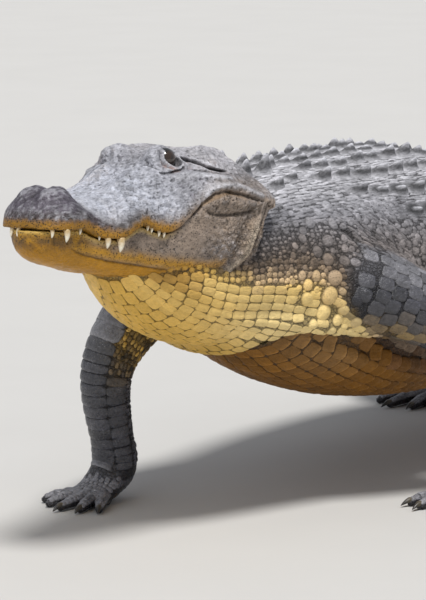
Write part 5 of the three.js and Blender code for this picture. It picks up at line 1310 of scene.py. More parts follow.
def lay_scales():
    """All scales, as named sets."""
    sets = {}
    r = np.random.default_rng(3)

    # keeled scutes of the back, in cross rows
    back = Scales([0.16, 0.34, 0.54, 0.74, 0.9, 1.04], 26)
    rows = 18
    p = (1.44 - 0.6) / rows
    for i in range(rows):
        s = 0.6 + (i + 0.5) * p
        sec = section(s)
        ang, u, z, L = sec
        for deg, high in ((5.6, 0.012), (17.3, 0.0165), (29.0, 0.0175), (41.0, 0.0135), (53.0, 0.007)):
            if deg > 50 and s < 0.74 or deg > 40 and s < 0.64:
                continue
            for side in (1, -1):
                d = math.radians(deg)
                arc = np.interp(d, ang, L)
                lo = np.interp(math.radians(max(deg - 5.9, 0.3)), ang, L)
                hi = np.interp(math.radians(deg + 5.9), ang, L)
                tall = high * r.uniform(0.75, 1.1) * (0.6 if r.uniform() < 0.18 else 1.0)
                C, _ = on_section(s + r.normal() * 0.002, np.array([side * (arc + r.normal() * 0.0012)]), sec)
                back.add(C, back_dir(s, 1) + r.normal(size=(1, 3)) * 0.03, p * r.uniform(0.56, 0.66), (hi - lo) * 0.5 * r.uniform(0.6, 0.8), 0.0018, n=2.2, dome=2.0, tilt=0.3,
                         keel=tall, keel_w=0.3, keel_at=r.uniform(0.4, 0.7), edge=0.15, rough=0.08)
    # nuchal shield: pairs of tall keels
    for s, u0, height, length in ((0.455, 0.02, 0.012, 0.018), (0.49, 0.03, 0.024, 0.03), (0.536, 0.034, 0.026, 0.03), (0.512, 0.075, 0.014, 0.022), (0.574, 0.022, 0.016, 0.024),
                                  (0.432, 0.045, 0.008, 0.014), (0.47, 0.06, 0.01, 0.016), (0.56, 0.07, 0.009, 0.02)):
        for side in (1, -1):
            sec = section(s)
            arc = np.interp(u0, sec[1][:180], sec[3][:180])
            C, _ = on_section(s, np.array([side * arc]), sec)
            back.add(C, back_dir(s, 1), length * 0.9, 0.4 * length + 0.003, 0.003, n=2.2, dome=2.0, tilt=0.4, keel=height * 0.98, keel_w=0.3, keel_at=0.45, edge=0.2, rough=0.06)
    sets["scutes_back"] = (back, [0])

    # narrow scales of the nape, drawn out along the body
    nape = Scales([0.5, 0.85, 1.04], 10)
    rows_to(nape, lattice(0.42, 0.66, 0.0145, 0.0058, 4, 60, jitter=0.18), ha=lambda s, a, e: 0.6 + 0.35 * e, hb=0.5, height=lambda s, a, e: 0.0007 + 0.0007 * e, n=2.2, dome=2.2, tilt=0.3, tone=lambda s, a, e: 0.88 + 0.26 * e, rough=0.1)
    sets["scales_nape"] = (nape, [0])
    # the same between the keeled scutes, lower and flatter
    for part, (s0, s1_) in enumerate(((0.66, 1.04), (1.04, 1.46))):
        mid_back = Scales([0.6, 1.04], 9)
        rows_to(mid_back, lattice(s0, s1_, 0.019, 0.0052, 0, 58, jitter=0.2), ha=lambda s, a, e: 0.7 + 0.4 * e, hb=0.6, height=lambda s, a, e: 0.0004 + 0.0008 * e, n=2.0, dome=2.0, tone=lambda s, a, e: 0.86 + 0.3 * e, rough=0.1)
        sets["scales_back_%d" % (part + 1)] = (mid_back, [0])
    # small scales between the keeled ones and down to the flank
    side_ = Scales([0.5, 0.85, 1.04], 10)
    rows_to(side_, lattice(0.64, 1.44, 0.0115, 0.0105, lambda s: 34 if s < 0.64 else (46 if s < 0.74 else 58), 66, jitter=0.16), ha=lambda s, a, e: 0.42 + 0.16 * e, hb=lambda s, a, e: 0.42 + 0.1 * e, height=lambda s, a, e: 0.0012 + 0.001 * e, n=2.2, dome=2.2, tilt=0.3, tone=lambda s, a, e: 0.8 + 0.4 * e, rough=0.1)
    sets["scales_side"] = (side_, [0])

    # knobs of the neck and shoulder
    knob = Scales([0.22, 0.42, 0.62, 0.8, 0.93, 1.04], 22)
    for ks, ka, kr in KNOBS:
        sec = section(ks)
        arc = np.interp(math.radians(ka), sec[0], sec[3])
        for side in (1, -1):
            C, _ = on_section(ks, np.array([side * arc]), sec)
            knob.add(C, back_dir(ks, 1) + np.array([[0, 0, -0.6]]) * r.uniform(-0.5, 1), kr * 1.03 * r.uniform(0.95, 1.12), kr * 1.03 * r.uniform(0.88, 1.02), kr * 0.42, n=2.1, dome=1.9 + 0.5 * r.uniform(),
                     keel=-0.0009 * (r.uniform() < 0.55), keel_w=0.24, keel_at=0.1, tone=r.uniform(0.9, 1.3), edge=0.1, rough=0.05)
    sets["knobs_neck"] = (knob, [0])
    # granules among them
    fine = Scales([0.6, 1.04], 8)
    for args in (lattice(0.37, 0.62, 0.0095, 0.0072, 58, lambda s: 86.0 if s < 0.44 else 106.0, jitter=0.16),):
        rows_to(fine, args, ha=0.47, hb=0.47, height=lambda s, a, e: 0.0009 + 0.0008 * e, n=2.2, dome=2.2, tone=lambda s, a, e: 0.72 + 0.5 * e, rough=0.12, keep=lambda s, a: clear_of_knobs(s, a) > 0.0012)
    sets["grains_neck"] = (fine, [0])
    # drawn-out folds of the shoulder, that run down and back
    fold = Scales([0.5, 0.85, 1.04], 12)
    rows_to(fold, lattice(0.585, 0.72, 0.0155, 0.0062, 50, 92, jitter=0.12), ha=lambda s, a, e: 0.5 + 0.3 * e, hb=0.47, height=lambda s, a, e: 0.0016 + 0.0014 * e, n=2.3, dome=2.0, tone=lambda s, a, e: 0.75 + 0.4 * e, rough=0.08,
            turn=0.9, keep=lambda s, a: clear_of_knobs(s, a) > 0.003)
    sets["folds_shoulder"] = (fold, [0])

    # flank
    flank = Scales([0.35, 0.7, 0.92, 1.04], 12)
    rows_to(flank, lattice(0.7, 1.5, 0.0145, 0.016, 63, lambda s: 119.0, jitter=0.14),
            ha=lambda s, a, e: 0.38 + 0.14 * e, hb=lambda s, a, e: 0.38 + 0.14 * e, height=lambda s, a, e: 0.0018 + 0.0014 * e, n=2.3, dome=2.2, tilt=0.25,
            keel=lambda s, a, e: 0.0015 * (e > 0.8), keel_w=0.3, tone=lambda s, a, e: 0.78 + 0.42 * e, edge=0.15, rough=0.1)
    sets["scales_flank"] = (flank, [0])
    seams = Scales([0.6, 1.04], 8)
    rows_to(seams, lattice(0.66, 1.5, 0.0075, 0.0076, 63, lambda s: 118.0, jitter=0.2), ha=0.44, hb=0.44, height=0.0007, n=2.2, dome=2.2, tone=lambda s, a, e: 0.7 + 0.4 * e, rough=0.12)
    sets["grains_flank"] = (seams, [0])

    # throat: rounded oblongs in cross rows
    throat = Scales([0.6, 0.89, 0.955, 1.005], 20)
    on_throat = lambda s, a: (fold_offset(s, a) < 0.009) & (clear_of_knobs(s, a) > 0.002)
    for a0, a1, wide in ((95, 136.5, 0.0128), (132.5, 180, 0.0205)):
        rows_to(throat, lattice(0.188, 0.64, lambda s: 0.0238 / float(stretch(s, 150)) ** 0.7, wide, a0, a1, jitter=0.03), ha=lambda s, a, e: 0.514 * stretch(s, a), hb=0.508, height=0.0017, n=5.0, dome=9.0, tilt=0.3, edge=0.06, tone=lambda s, a, e: 0.96 + 0.1 * e, rough=0.045, keep=on_throat)
    sets["scales_throat"] = (throat, [0])
    # small round scales between throat and neck
    cheek = Scales([0.45, 0.85, 1.04], 12)
    rows_to(cheek, lattice(0.2, 0.64, 0.0118, 0.0092, 81, 95, jitter=0.1), ha=0.47, hb=0.47, height=0.0016, n=2.4, dome=2.4, tone=lambda s, a, e: 0.85 + 0.35 * e, rough=0.08, keep=lambda s, a: clear_of_knobs(s, a) > 0.002)
    sets["scales_cheek"] = (cheek, [0])
    # cream scales behind the knobs, down to the chest
    mid = Scales([0.4, 0.75, 0.93, 1.03], 14)
    rows_to(mid, lattice(0.5, 0.72, 0.014, 0.0135, 106, 126, jitter=0.1), ha=0.5, hb=0.48, height=lambda s, a, e: 0.002 + 0.0015 * e, n=2.4, dome=2.4, tone=lambda s, a, e: 0.85 + 0.3 * e, rough=0.08,
            keep=lambda s, a: (clear_of_knobs(s, a) > 0.003) & (fold_offset(s, a) < 0.012) & (s > 0.54))
    sets["scales_armpit"] = (mid, [0])

    # belly: oblong scutes in cross rows, overlapping to the rear
    belly = Scales([0.6, 0.88, 0.95, 1.01], 18)
    rows_to(belly, lattice(0.46, 1.46, lambda s: 0.0245, 0.0265, lambda s: 108, 180, brick=False, jitter=0.012),
            ha=0.508, hb=0.5, height=lambda s, a, e: 0.002 + 0.0026 * smooth(s, 0.6, 0.68) * (1 - smooth(a, 140, 165)), n=6.0, dome=9.0, tilt=0.7, edge=0.9, tone=lambda s, a, e: 0.9 + 0.2 * e,
            keep=lambda s, a: fold_offset(s, a) > 0.009 + 0.024 * smooth(a, 132, 146))
    sets["scutes_belly"] = (belly, [0])

    # tail: whorls of oblong scutes, and the crests
    whorl = profile([[1.45, 0.05], [2.2, 0.046], [BODY_LENGTH, 0.034]], 1)
    tall = profile([[1.4, 0.012], [1.65, 0.022], [1.9, 0.034], [2.15, 0.045], [2.55, 0.04], [2.85, 0.022], [BODY_LENGTH, 0.008]], 1)
    spread = profile([[1.4, 0.055], [1.65, 0.05], [1.9, 0.034], [2.12, 0.0], [BODY_LENGTH, 0.0]], 1)
    tail = Scales([0.5, 0.83, 0.96, 1.04], 16)
    tops = Scales([0.25, 0.5, 0.72, 0.88, 0.97, 1.04], 20)
    for cut0, cut1 in ((1.44, 1.8), (1.8, 2.16), (2.16, 2.56), (2.56, 2.945)):
        s = cut0
        while s < cut1 - 0.6 * whorl(s):
            p = float(whorl(s))
            sc = s + 0.5 * p
            sec = section(sc)
            ang, u, z, L = sec
            around = max(4, round(L[-1] / (0.62 * p + 0.004)))
            w = L[-1] / around
            arcs = (np.arange(around) + 0.5) * w
            for side in (1, -1):
                C, A = on_section(sc, side * arcs, sec)
                low = A > 120
                tail.add(C, back_dir(sc, around), p * 0.51, w * 0.485, 0.0021, n=4.0, dome=5.0, tilt=0.4, keel=np.where(A < 60, 0.002, 0.0), keel_w=0.2, edge=0.3, tone=np.where(low, 1.05, r.uniform(0.85, 1.15, around)), rough=0.03)
            sp = float(spread(sc))
            for side in (1, -1) if sp > 0.004 else (1,):
                arc = np.interp(sp, sec[1][:180], sec[3][:180]) if sp > 0.004 else 0.0001
                C, _ = on_section(s + 0.52 * p, np.array([side * arc]), sec)
                crest = float(tall(s + 0.66 * p)) * r.uniform(0.88, 1.02)
                tops.add(C, back_dir(sc, 1), p * 0.56, min(0.013, 0.25 * float(bodyW(sc)) + 0.004), 0.002, n=2.0, dome=2.5, tilt=0.4, keel=crest, keel_w=0.3, keel_at=0.35, edge=0.3, rough=0.03)
            s += p
    sets["scutes_tail"] = (tail, [0])
    sets["crests_tail"] = (tops, [0])

    # limbs: rings with wide bands in front, broad scales outside and small ones inside
    for name, limb in LIMBS.items():
        k = PARTS.index(name)
        tube, own, tiny = limb["tube"], Scales([0.3, 0.6, 0.86, 0.95, 1.02], 20), Scales([0.5, 0.88, 1.03], 10)
        total = tube.at[-1]
        sign = 1.0 if limb["path"][1][1] > SHIFT[1] else -1.0
        t, i = 0.0, 0
        while t < total - 0.003:
            share = t / total
            pitch = float(np.interp(share, [0, 0.48, 0.54, 0.59, 0.64, 0.67, 0.7, 0.74, 0.8, 0.86, 0.9, 0.94, 1], [0.024, 0.025, 0.0235, 0.019, 0.0135, 0.01, 0.013, 0.015, 0.0165, 0.019, 0.015, 0.0125, 0.0115]))
            idx = np.interp(t + pitch / 2, tube.at, np.arange(len(tube.at)))
            rw, rt = np.interp(idx, np.arange(len(tube.rw)), tube.rw), np.interp(idx, np.arange(len(tube.rt)), tube.rt)
            c, x, y = (np.array([np.interp(idx, np.arange(len(v)), v[:, m]) for m in range(3)]) for v in (tube.c, tube.x, tube.y))
            d = unit(np.cross(x, y))
            if d @ tube.dir[min(int(idx), len(tube.dir) - 1)] < 0:
                d = -d
            q = np.arange(0, TAU + 0.01, 0.02)
            lens = np.concatenate([[0], np.cumsum(np.hypot(np.diff(rw * np.cos(q)), np.diff(rt * np.sin(q))))])
            n0 = lambda a: unit(np.cos(a) / rw * x + np.sin(a) / rt * y)
            facing = np.array([n0(a) @ unit(V(-1, 0.25 * sign, 0)) for a in q])
            at_front, around = lens[np.argmax(facing)], lens[-1]
            turn = 1.0 if n0(np.interp((at_front + 0.2 * around) % around, lens, q))[1] * sign > 0 else -1.0
            lower = share > (0.7 if limb["fore"] else 0.55)
            banded = share > 0.45 or name == "fore_right"
            # from the front: each entry is the middle and the width, outwards positive
            band = (0.27 if limb["fore"] else 0.2) * around if banded else 0.021
            wide = [(0.0, band)]
            out_at = in_at = band / 2
            if lower:
                w = 0.15 * around
                wide += [(band / 2 + w / 2, w), (-band / 2 - w / 2, w)]
                out_at = in_at = band / 2 + w
            w = 0.0185 + 0.003 * r.uniform()
            if not banded:
                while in_at < 0.2 * around:
                    wide.append((-in_at - w / 2, w))
                    in_at += w
            while out_at < 0.47 * around:
                wide.append((out_at + w / 2, w))
                out_at += w
            if not banded and i % 2:
                wide = [(m_ + 0.5 * w, w) for m_, _ in wide]
            for mid_, w in wide:
                shift = r.normal() * (0.0006 if banded else 0.002)
                a_ = np.interp((at_front + turn * mid_) % around, lens, q)
                C = c + rw * np.cos(a_) * x + rt * np.sin(a_) * y + d * shift
                far_out = 1 + 0.35 * bump(share, 0.62, 0.16) * smooth(0.25 - abs(mid_) / around, 0, 0.2) * limb["fore"]
                bend = around / TAU
                wide_half = bend * math.tan(min(0.525 * w / bend, 1.1))
                own.add(C[None], d[None] + r.normal(size=(1, 3)) * (0.02 if banded else 0.06), (0.53 if banded else 0.58) * pitch * far_out, wide_half * (1 if banded else 1.02), 0.0019 if banded else 0.0022, n=4.5 if banded else 4.0, dome=6.0, tilt=0.35, edge=0.55, tone=r.uniform(0.8, 1.15), rough=0.03 if banded else 0.06)
            # small ones inside, in two rows to each ring
            w = 0.0072 if not lower else 0.0105
            rows_in = 2 if pitch > 0.013 else 1
            for row in range(rows_in):
                at = in_at + w * (0.3 if row else 0.55)
                while at < around - out_at:
                    a_ = np.interp((at_front - turn * at) % around, lens, q)
                    C = c + rw * np.cos(a_) * x + rt * np.sin(a_) * y + d * (pitch * ((row + 0.5) / rows_in - 0.5) + r.normal() * 0.0009)
                    tiny.add(C[None], d[None] + r.normal(size=(1, 3)) * 0.15, 0.47 * pitch / rows_in, 0.46 * w, 0.0016, n=2.3, dome=2.2, tilt=0.3, edge=0.3, tone=r.choice([0.22, 0.8, 1.1, 1.35]), rough=0.12)
                    at += w * r.uniform(0.9, 1.12)
            t += pitch
            i += 1
        sets["grains_" + name] = (tiny, [k])
        # palm and back of the foot
        up = V(0, 0, 1)
        a = np.arange(-0.045, limb["reach"] + 0.02, 0.0085)
        b = np.arange(-0.04, 0.041, 0.0085)
        A, B = np.meshgrid(a, b, indexing="ij")
        B = B + 0.00425 * (np.arange(len(a)) % 2)[:, None]
        C = limb["centre"] + A.reshape(-1, 1) * limb["fwd"] + B.reshape(-1, 1) * limb["lateral"] + up * 0.03
        C, _ = settle(C, 5, 0.02)
        own.add(C, np.tile(limb["fwd"] - 0.4 * up, (len(C), 1)), 0.0043, 0.0041, 0.0011, n=2.4, dome=2.4, tilt=0.3, edge=0.2, rough=0.08)
        # plates across the top of each digit
        for g in limb["digits"]:
            m = int(g["full"] / 0.0078)
            tt = np.linspace(0.12, 0.93, m)
            C = g["root"] + (tt * g["full"])[:, None] * g["dir"] + up * 0.02
            side_ = V(-g["dir"][1], g["dir"][0], 0)
            r0 = g["tube"].rw[0]
            for off, w in ((0.0, 0.62), (0.62, 0.42), (-0.62, 0.42)):
                rr = r0 + (g["r1"] - r0) * tt
                q = C + side_ * (off * rr)[:, None]
                q[:, 2] = np.sqrt(np.maximum(1 - off * off, 0)) * rr + 0.8 * rr
                own.add(q, np.tile(g["dir"], (m, 1)), 0.0043, w * rr, 0.0011, n=3.5, dome=4.0, tilt=0.4, edge=0.3, rough=0.03)
        sets["scales_" + name] = (own, [k])
    return sets


# ---------------------------------------------------------------- materials
def nodes_of(name):
    mat = bpy.data.materials.new(name)
    mat.use_nodes = True
    nt = mat.node_tree
    for n in list(nt.nodes):
        nt.nodes.remove(n)
    out = nt.nodes.new("ShaderNodeOutputMaterial")
    bsdf = nt.nodes.new("ShaderNodeBsdfPrincipled")
    nt.links.new(bsdf.outputs["BSDF"], out.inputs["Surface"])
    return mat, nt, bsdf


class Net:
    """Short names for the node kinds used here."""

    def __init__(self, nt):
        self.nt = nt

    def new(self, kind, **inputs):
        n = self.nt.nodes.new(kind)
        for k, v in inputs.items():
            self.put(n, k, v)
        return n

    def put(self, n, key, v):
        s = n.inputs[int(key[1:])] if key.startswith("_") else n.inputs[key.replace("_", " ")]
        if isinstance(v, bpy.types.NodeSocket):
            self.nt.links.new(v, s)
        else:
            s.default_value = v

    def attr(self, name, out="Fac"):
        n = self.nt.nodes.new("ShaderNodeAttribute")
        n.attribute_name = name
        return n.outputs[out]

    def math(self, op, a, b=0.0, clamp=False):
        n = self.new("ShaderNodeMath", _0=a, _1=b)
        n.operation = op
        n.use_clamp = clamp
        return n.outputs[0]

    def ramp(self, x, lo, hi, a=0.0, b=1.0):
        n = self.new("ShaderNodeMapRange", Value=x)
        n.interpolation_type = "SMOOTHSTEP"
        for k, v in ((1, lo), (2, hi), (3, a), (4, b)):
            self.put(n, "_%d" % k, v)
        return n.outputs[0]

    def noise(self, v, scale, detail=4.0, rough=0.6, distortion=0.0):
        n = self.new("ShaderNodeTexNoise", Vector=v, Scale=scale, Detail=detail, Roughness=rough, Distortion=distortion)
        return n.outputs["Fac"]

    def cells(self, v, scale, feature="F1", smoothness=None):
        n = self.nt.nodes.new("ShaderNodeTexVoronoi")
        n.feature = feature
        self.put(n, "Vector", v)
        self.put(n, "Scale", scale)
        return n.outputs["Distance"]

    def mix(self, a, b, t, mode="MIX"):
        n = self.nt.nodes.new("ShaderNodeMix")
        n.data_type = "RGBA"
        n.blend_type = mode
        self.put(n, "_0", t)
        for s, v in ((6, a), (7, b)):
            if isinstance(v, bpy.types.NodeSocket):
                self.nt.links.new(v, n.inputs[s])
            else:
                n.inputs[s].default_value = (*v, 1)
        return n.outputs[2]

    def bump(self, height, strength, distance, normal=None):
        n = self.new("ShaderNodeBump", Height=height, Strength=strength, Distance=distance)
        if normal is not None:
            self.put(n, "Normal", normal)
        return n.outputs["Normal"]


def hide_material(name, scale_piece, specular=0.35):
    """Hide or scale: the markings at its root, mottled, speckled and worn, with pores and fine creases."""
    mat, nt, bsdf = nodes_of(name)
    t = Net(nt)
    where = t.new("ShaderNodeTexCoord").outputs["Object"]
    mark = t.attr("mark", "Color")
    spot, gloss, grain = t.attr("spot"), t.attr("gloss"), t.attr("grain")
    big = t.noise(where, 22.0, 5.0, 0.62)
    mid = t.noise(where, 105.0, 6.0, 0.68)
    tiny = t.noise(where, 560.0, 4.0, 0.65)
    # fine creases drawn out along the animal
    pull = t.new("ShaderNodeVectorMath", _0=where, _1=(0.22, 1.0, 1.0))
    pull.operation = "MULTIPLY"
    crease = t.noise(pull.outputs[0], 240.0, 4.0, 0.6, 0.6)
    shade = t.math("ADD", t.ramp(big, 0.3, 0.7, 0.78, 1.2), t.math("MULTIPLY", t.math("SUBTRACT", mid, 0.5), 1.2))
    shade = t.math("ADD", shade, t.math("MULTIPLY", t.math("SUBTRACT", tiny, 0.5), 0.6))
    shade = t.math("ADD", shade, t.math("MULTIPLY", t.math("SUBTRACT", crease, 0.5), 1.7))
    split = t.new("ShaderNodeSeparateColor", _0=mark)
    warm = t.ramp(t.math("SUBTRACT", split.outputs[0], split.outputs[2]), 0.04, 0.2, 1.0, 0.0)
    calm = t.math("ADD", 0.3, t.math("MULTIPLY", warm, 0.7))
    shade = t.math("ADD", 1.0, t.math("MULTIPLY", t.math("SUBTRACT", shade, 1.0), calm))
    shade = t.math("MAXIMUM", shade, 0.25)
    comb = t.new("ShaderNodeCombineColor", _0=shade, _1=shade, _2=shade).outputs[0]
    col = t.mix(mark, comb, 1.0, "MULTIPLY")
    # dark speckles
    dots = t.cells(where, 300.0)
    sp = t.math("MULTIPLY", t.ramp(t.math("ADD", dots, t.math("MULTIPLY", t.math("SUBTRACT", mid, 0.5), 0.7)), 0.2, 0.36, 1.0, 0.0), spot)
    col = t.mix(col, (0.012, 0.009, 0.007), t.math("MULTIPLY", sp, 0.9))
    # grey dust in the worn high places
    dust = t.math("MULTIPLY", t.ramp(t.math("ADD", t.math("MULTIPLY", mid, 0.6), t.math("MULTIPLY", tiny, 0.4)), 0.53, 0.66), t.ramp(big, 0.42, 0.62, 0.15, 0.8))
    dust = t.math("MULTIPLY", dust, warm)
    col = t.mix(col, (0.46, 0.46, 0.475), t.math("MULTIPLY", dust, t.ramp(gloss, 0.3, 0.8, 0.4, 0.22)))
    if not scale_piece:
        # the hide is finely cracked
        edge = t.cells(where, 170.0, "DISTANCE_TO_EDGE")
        crack = t.math("MULTIPLY", t.ramp(edge, 0.0, 0.13, 1.0, 0.0), grain)
        col = t.mix(col, (0.014, 0.011, 0.01), t.math("MULTIPLY", crack, 0.7))
    t.put(bsdf, "Base_Color", col)
    rough = t.math("SUBTRACT", t.ramp(gloss, 0.0, 1.0, 0.72, 0.3), t.math("MULTIPLY", t.math("SUBTRACT", mid, 0.5), 0.5), clamp=True)
    t.put(bsdf, "Roughness", rough)
    bsdf.inputs["Specular IOR Level"].default_value = specular
    fine = t.math("ADD", t.math("MULTIPLY", mid, 0.6), t.math("MULTIPLY", tiny, 0.4))
    n = t.bump(fine, 0.8, 0.0026)
    n = t.bump(crease, 0.8, 0.0026, n)
    if not scale_piece:
        n = t.bump(t.math("MULTIPLY", t.ramp(edge, 0.0, 0.22), grain), 0.9, 0.0013, n)
        pits = t.ramp(t.cells(where, 95.0), 0.0, 0.42)
        n = t.bump(pits, 0.45, 0.0011, n)
    t.put(bsdf, "Normal", n)
    return mat


def eye_material():
    mat, nt, bsdf = nodes_of("eye_wet")
    t = Net(nt)
    look = t.attr("look", "Fac")  # angle from the middle of the iris, 0..1
    slit = t.attr("slit", "Fac")
    where = t.new("ShaderNodeTexCoord").outputs["Object"]
    streak = t.noise(where, 420.0, 4.0, 0.7)
    iris = t.mix((0.016, 0.009, 0.006), (0.05, 0.026, 0.014), t.ramp(streak, 0.35, 0.7))
    iris = t.mix(iris, (0.005, 0.004, 0.003), t.ramp(look, 0.36, 0.56))
    iris = t.mix(iris, (0.002, 0.002, 0.002), t.ramp(slit, 0.35, 0.5, 1.0, 0.0))
    t.put(bsdf, "Base_Color", iris)
    t.put(bsdf, "Roughness", t.ramp(streak, 0.3, 0.7, 0.1, 0.16))
    bsdf.inputs["Coat Weight"].default_value = 0.9
    bsdf.inputs["Coat Roughness"].default_value = 0.04
    return mat


def horn_material(name, base, root, rough, scale=300.0):
    """Ivory or horn: paler or darker towards the root, with fine lengthwise streaks."""
    mat, nt, bsdf = nodes_of(name)
    t = Net(nt)
    along = t.attr("along", "Fac")
    where = t.new("ShaderNodeTexCoord").outputs["Object"]
    n = t.noise(where, scale, 4.0, 0.6)
    col = t.mix(base, root, t.ramp(t.math("ADD", along, t.math("MULTIPLY", t.math("SUBTRACT", n, 0.5), 0.5)), 0.1, 0.75, 1.0, 0.0))
    t.put(bsdf, "Base_Color", col)
    t.put(bsdf, "Roughness", t.ramp(n, 0.3, 0.7, rough - 0.07, rough + 0.1))
    t.put(bsdf, "Normal", t.bump(n, 0.25, 0.0004))
    return mat


# ---------------------------------------------------------------- objects
def make_object(name, P, faces, mat, attrs=None, uv=None, shade=True):
    """A mesh object in the frame, from vertices and same-sized faces."""
    me = bpy.data.meshes.new(name)
    faces = np.asarray(faces, np.int32)
    k = faces.shape[1]
    me.vertices.add(len(P))
    me.vertices.foreach_set("co", np.asarray(P, np.float32).ravel())
    me.loops.add(faces.size)
    me.loops.foreach_set("vertex_index", faces.ravel())
    me.polygons.add(len(faces))
    me.polygons.foreach_set("loop_start", np.arange(0, faces.size, k, dtype=np.int32))
    me.update(calc_edges=True)
    me.validate()
    if shade:
        me.polygons.foreach_set("use_smooth", np.ones(len(me.polygons), bool))
    for key, v in (attrs or {}).items():
        v = np.asarray(v, np.float32)
        if v.ndim == 2:
            a = me.attributes.new(key, "FLOAT_COLOR", "POINT")
            a.data.foreach_set("color", np.column_stack([v, np.ones(len(v))]).astype(np.float32).ravel())
        else:
            a = me.attributes.new(key, "FLOAT", "POINT")
            a.data.foreach_set("value", v)
    if uv is not None:
        layer = me.uv_layers.new(name="OFBake")
        idx = np.zeros(len(me.loops), np.int32)
        me.loops.foreach_get("vertex_index", idx)
        data = uv[idx] if len(uv) == len(P) else uv
        layer.data.foreach_set("uv", data.astype(np.float32).ravel())
    me.materials.append(mat)
    me.update()
    o = bpy.data.objects.new(name, me)
    bpy.context.scene.collection.objects.link(o)
    return o


def largest_piece(n, E):
    """Which of n things belong to the largest piece that the pairs E join."""
    lab = np.arange(n)
    while True:
        m = np.minimum(lab[E[:, 0]], lab[E[:, 1]])
        new = lab.copy()
        np.minimum.at(new, lab[E[:, 0]], m)
        np.minimum.at(new, lab[E[:, 1]], m)
        new = new[new]
        while True:
            nxt = new[new]
            if np.array_equal(nxt, new):
                break
            new = nxt
        if np.array_equal(new, lab):
            break
        lab = new
    return lab == np.bincount(lab, minlength=n).argmax()


def fine_skin():
    X, Y, Z = grid_lines()
    P, quads = surface(field, X, Y, Z)
    keep = largest_piece(len(P), np.concatenate([quads[:, [0, 1]], quads[:, [1, 2]], quads[:, [2, 3]], quads[:, [3, 0]]]))
    quads = quads[keep[quads[:, 0]]]
    new = np.cumsum(keep) - 1
    P, quads = P[keep], new[quads]
    # fewer, larger faces where the form is calm
    temp = make_object("temp", P, quads, HIDE)
    bpy.context.view_layer.objects.active = temp
    mod = temp.modifiers.new("thin", "DECIMATE")
    mod.ratio = SKIN_FACES / (2 * len(quads))
    mod.use_collapse_triangulate = True
    dg = bpy.context.evaluated_depsgraph_get()
    e = temp.evaluated_get(dg)
    me = e.to_mesh()
    co = np.zeros(len(me.vertices) * 3, np.float32)
    me.vertices.foreach_get("co", co)
    me.calc_loop_triangles()
    tri = np.zeros(len(me.loop_triangles) * 3, np.int32)
    me.loop_triangles.foreach_get("vertices", tri)
    e.to_mesh_clear()
    data = temp.data
    bpy.data.objects.remove(temp)
    bpy.data.meshes.remove(data)
    P, T = co.reshape(-1, 3).astype(float), tri.reshape(-1, 3)
    # small shells shut in between the jaws are left out: faces join where an edge has just two of them
    S = np.sort(np.concatenate([T[:, [0, 1]], T[:, [1, 2]], T[:, [2, 0]]]), 1)
    face = np.tile(np.arange(len(T)), 3)
    order = np.lexsort((S[:, 1], S[:, 0]))
    S, face = S[order], face[order]
    same = np.all(S[1:] == S[:-1], 1)
    two = same & ~np.append(same[1:], False) & ~np.insert(same[:-1], 0, False)
    T = T[largest_piece(len(T), np.stack([face[:-1][two], face[1:][two]], 1))]
    used, T = np.unique(T, return_inverse=True)
    P, T = P[used], T.reshape(-1, 3)
    f = in_pieces(field, P)
    g = gradient(P)
    P = P - g * np.clip(f / np.maximum(np.sum(g * g, 1), 0.2), -0.002, 0.002)[:, None]
    return P, T


def face_uv(P, T, owner):
    """The unwrap for each face corner, with faces that cross a seam kept whole."""
    pick = owner[T[:, 0]]
    uv = np.zeros((len(T), 3, 2))
    for k in np.unique(pick):
        m = pick == k
        Q = T[m].ravel()
        q = unwrap(P[Q], np.full(len(Q), k)).reshape(-1, 3, 2)
        uv[m] = q
    # a face wider than a hundredth or so crosses the seam: it shrinks to its first corner
    wide = np.abs(uv - uv[:, :1]).max((1, 2)) > 0.06
    uv[wide] = uv[wide][:, :1] + np.array([[0, 0], [0.0006, 0], [0, 0.0006]])
    return uv.reshape(-1, 2)


def hollows(P, T, N, rounds):
    """How deep each place of a mesh lies below its surroundings, in metres."""
    E = np.concatenate([T[:, [0, 1]], T[:, [1, 2]], T[:, [2, 0]]])
    n = len(P)
    count = np.maximum(np.bincount(E[:, 0], minlength=n) + np.bincount(E[:, 1], minlength=n), 1)
    S = P.copy()
    for _ in range(rounds):
        S = np.stack([np.bincount(E[:, 0], S[E[:, 1], k], n) + np.bincount(E[:, 1], S[E[:, 0], k], n) for k in range(3)], 1) / count[:, None]
    return np.sum((S - P) * N, 1)


SKIN_FACES = 300000
HIDE = hide_material("hide", False)
HORNY = hide_material("scale_horn", True, 0.45)
PALE_HORN = hide_material("scale_pale", True, 0.22)
DARK_HORN = hide_material("scale_dark", True, 0.75)
EYE_MAT = eye_material()
TOOTH = horn_material("tooth_ivory", (0.78, 0.72, 0.58), (0.5, 0.36, 0.18), 0.3)
CLAW = horn_material("claw_horn", (0.03, 0.027, 0.024), (0.12, 0.1, 0.07), 0.36)

P, T = fine_skin()
_, D = field_and_parts(P)
owner = np.argmin(D, 1)
N = unit(gradient(P))
col, spot, gloss, grain = marks(P, N, owner, D)
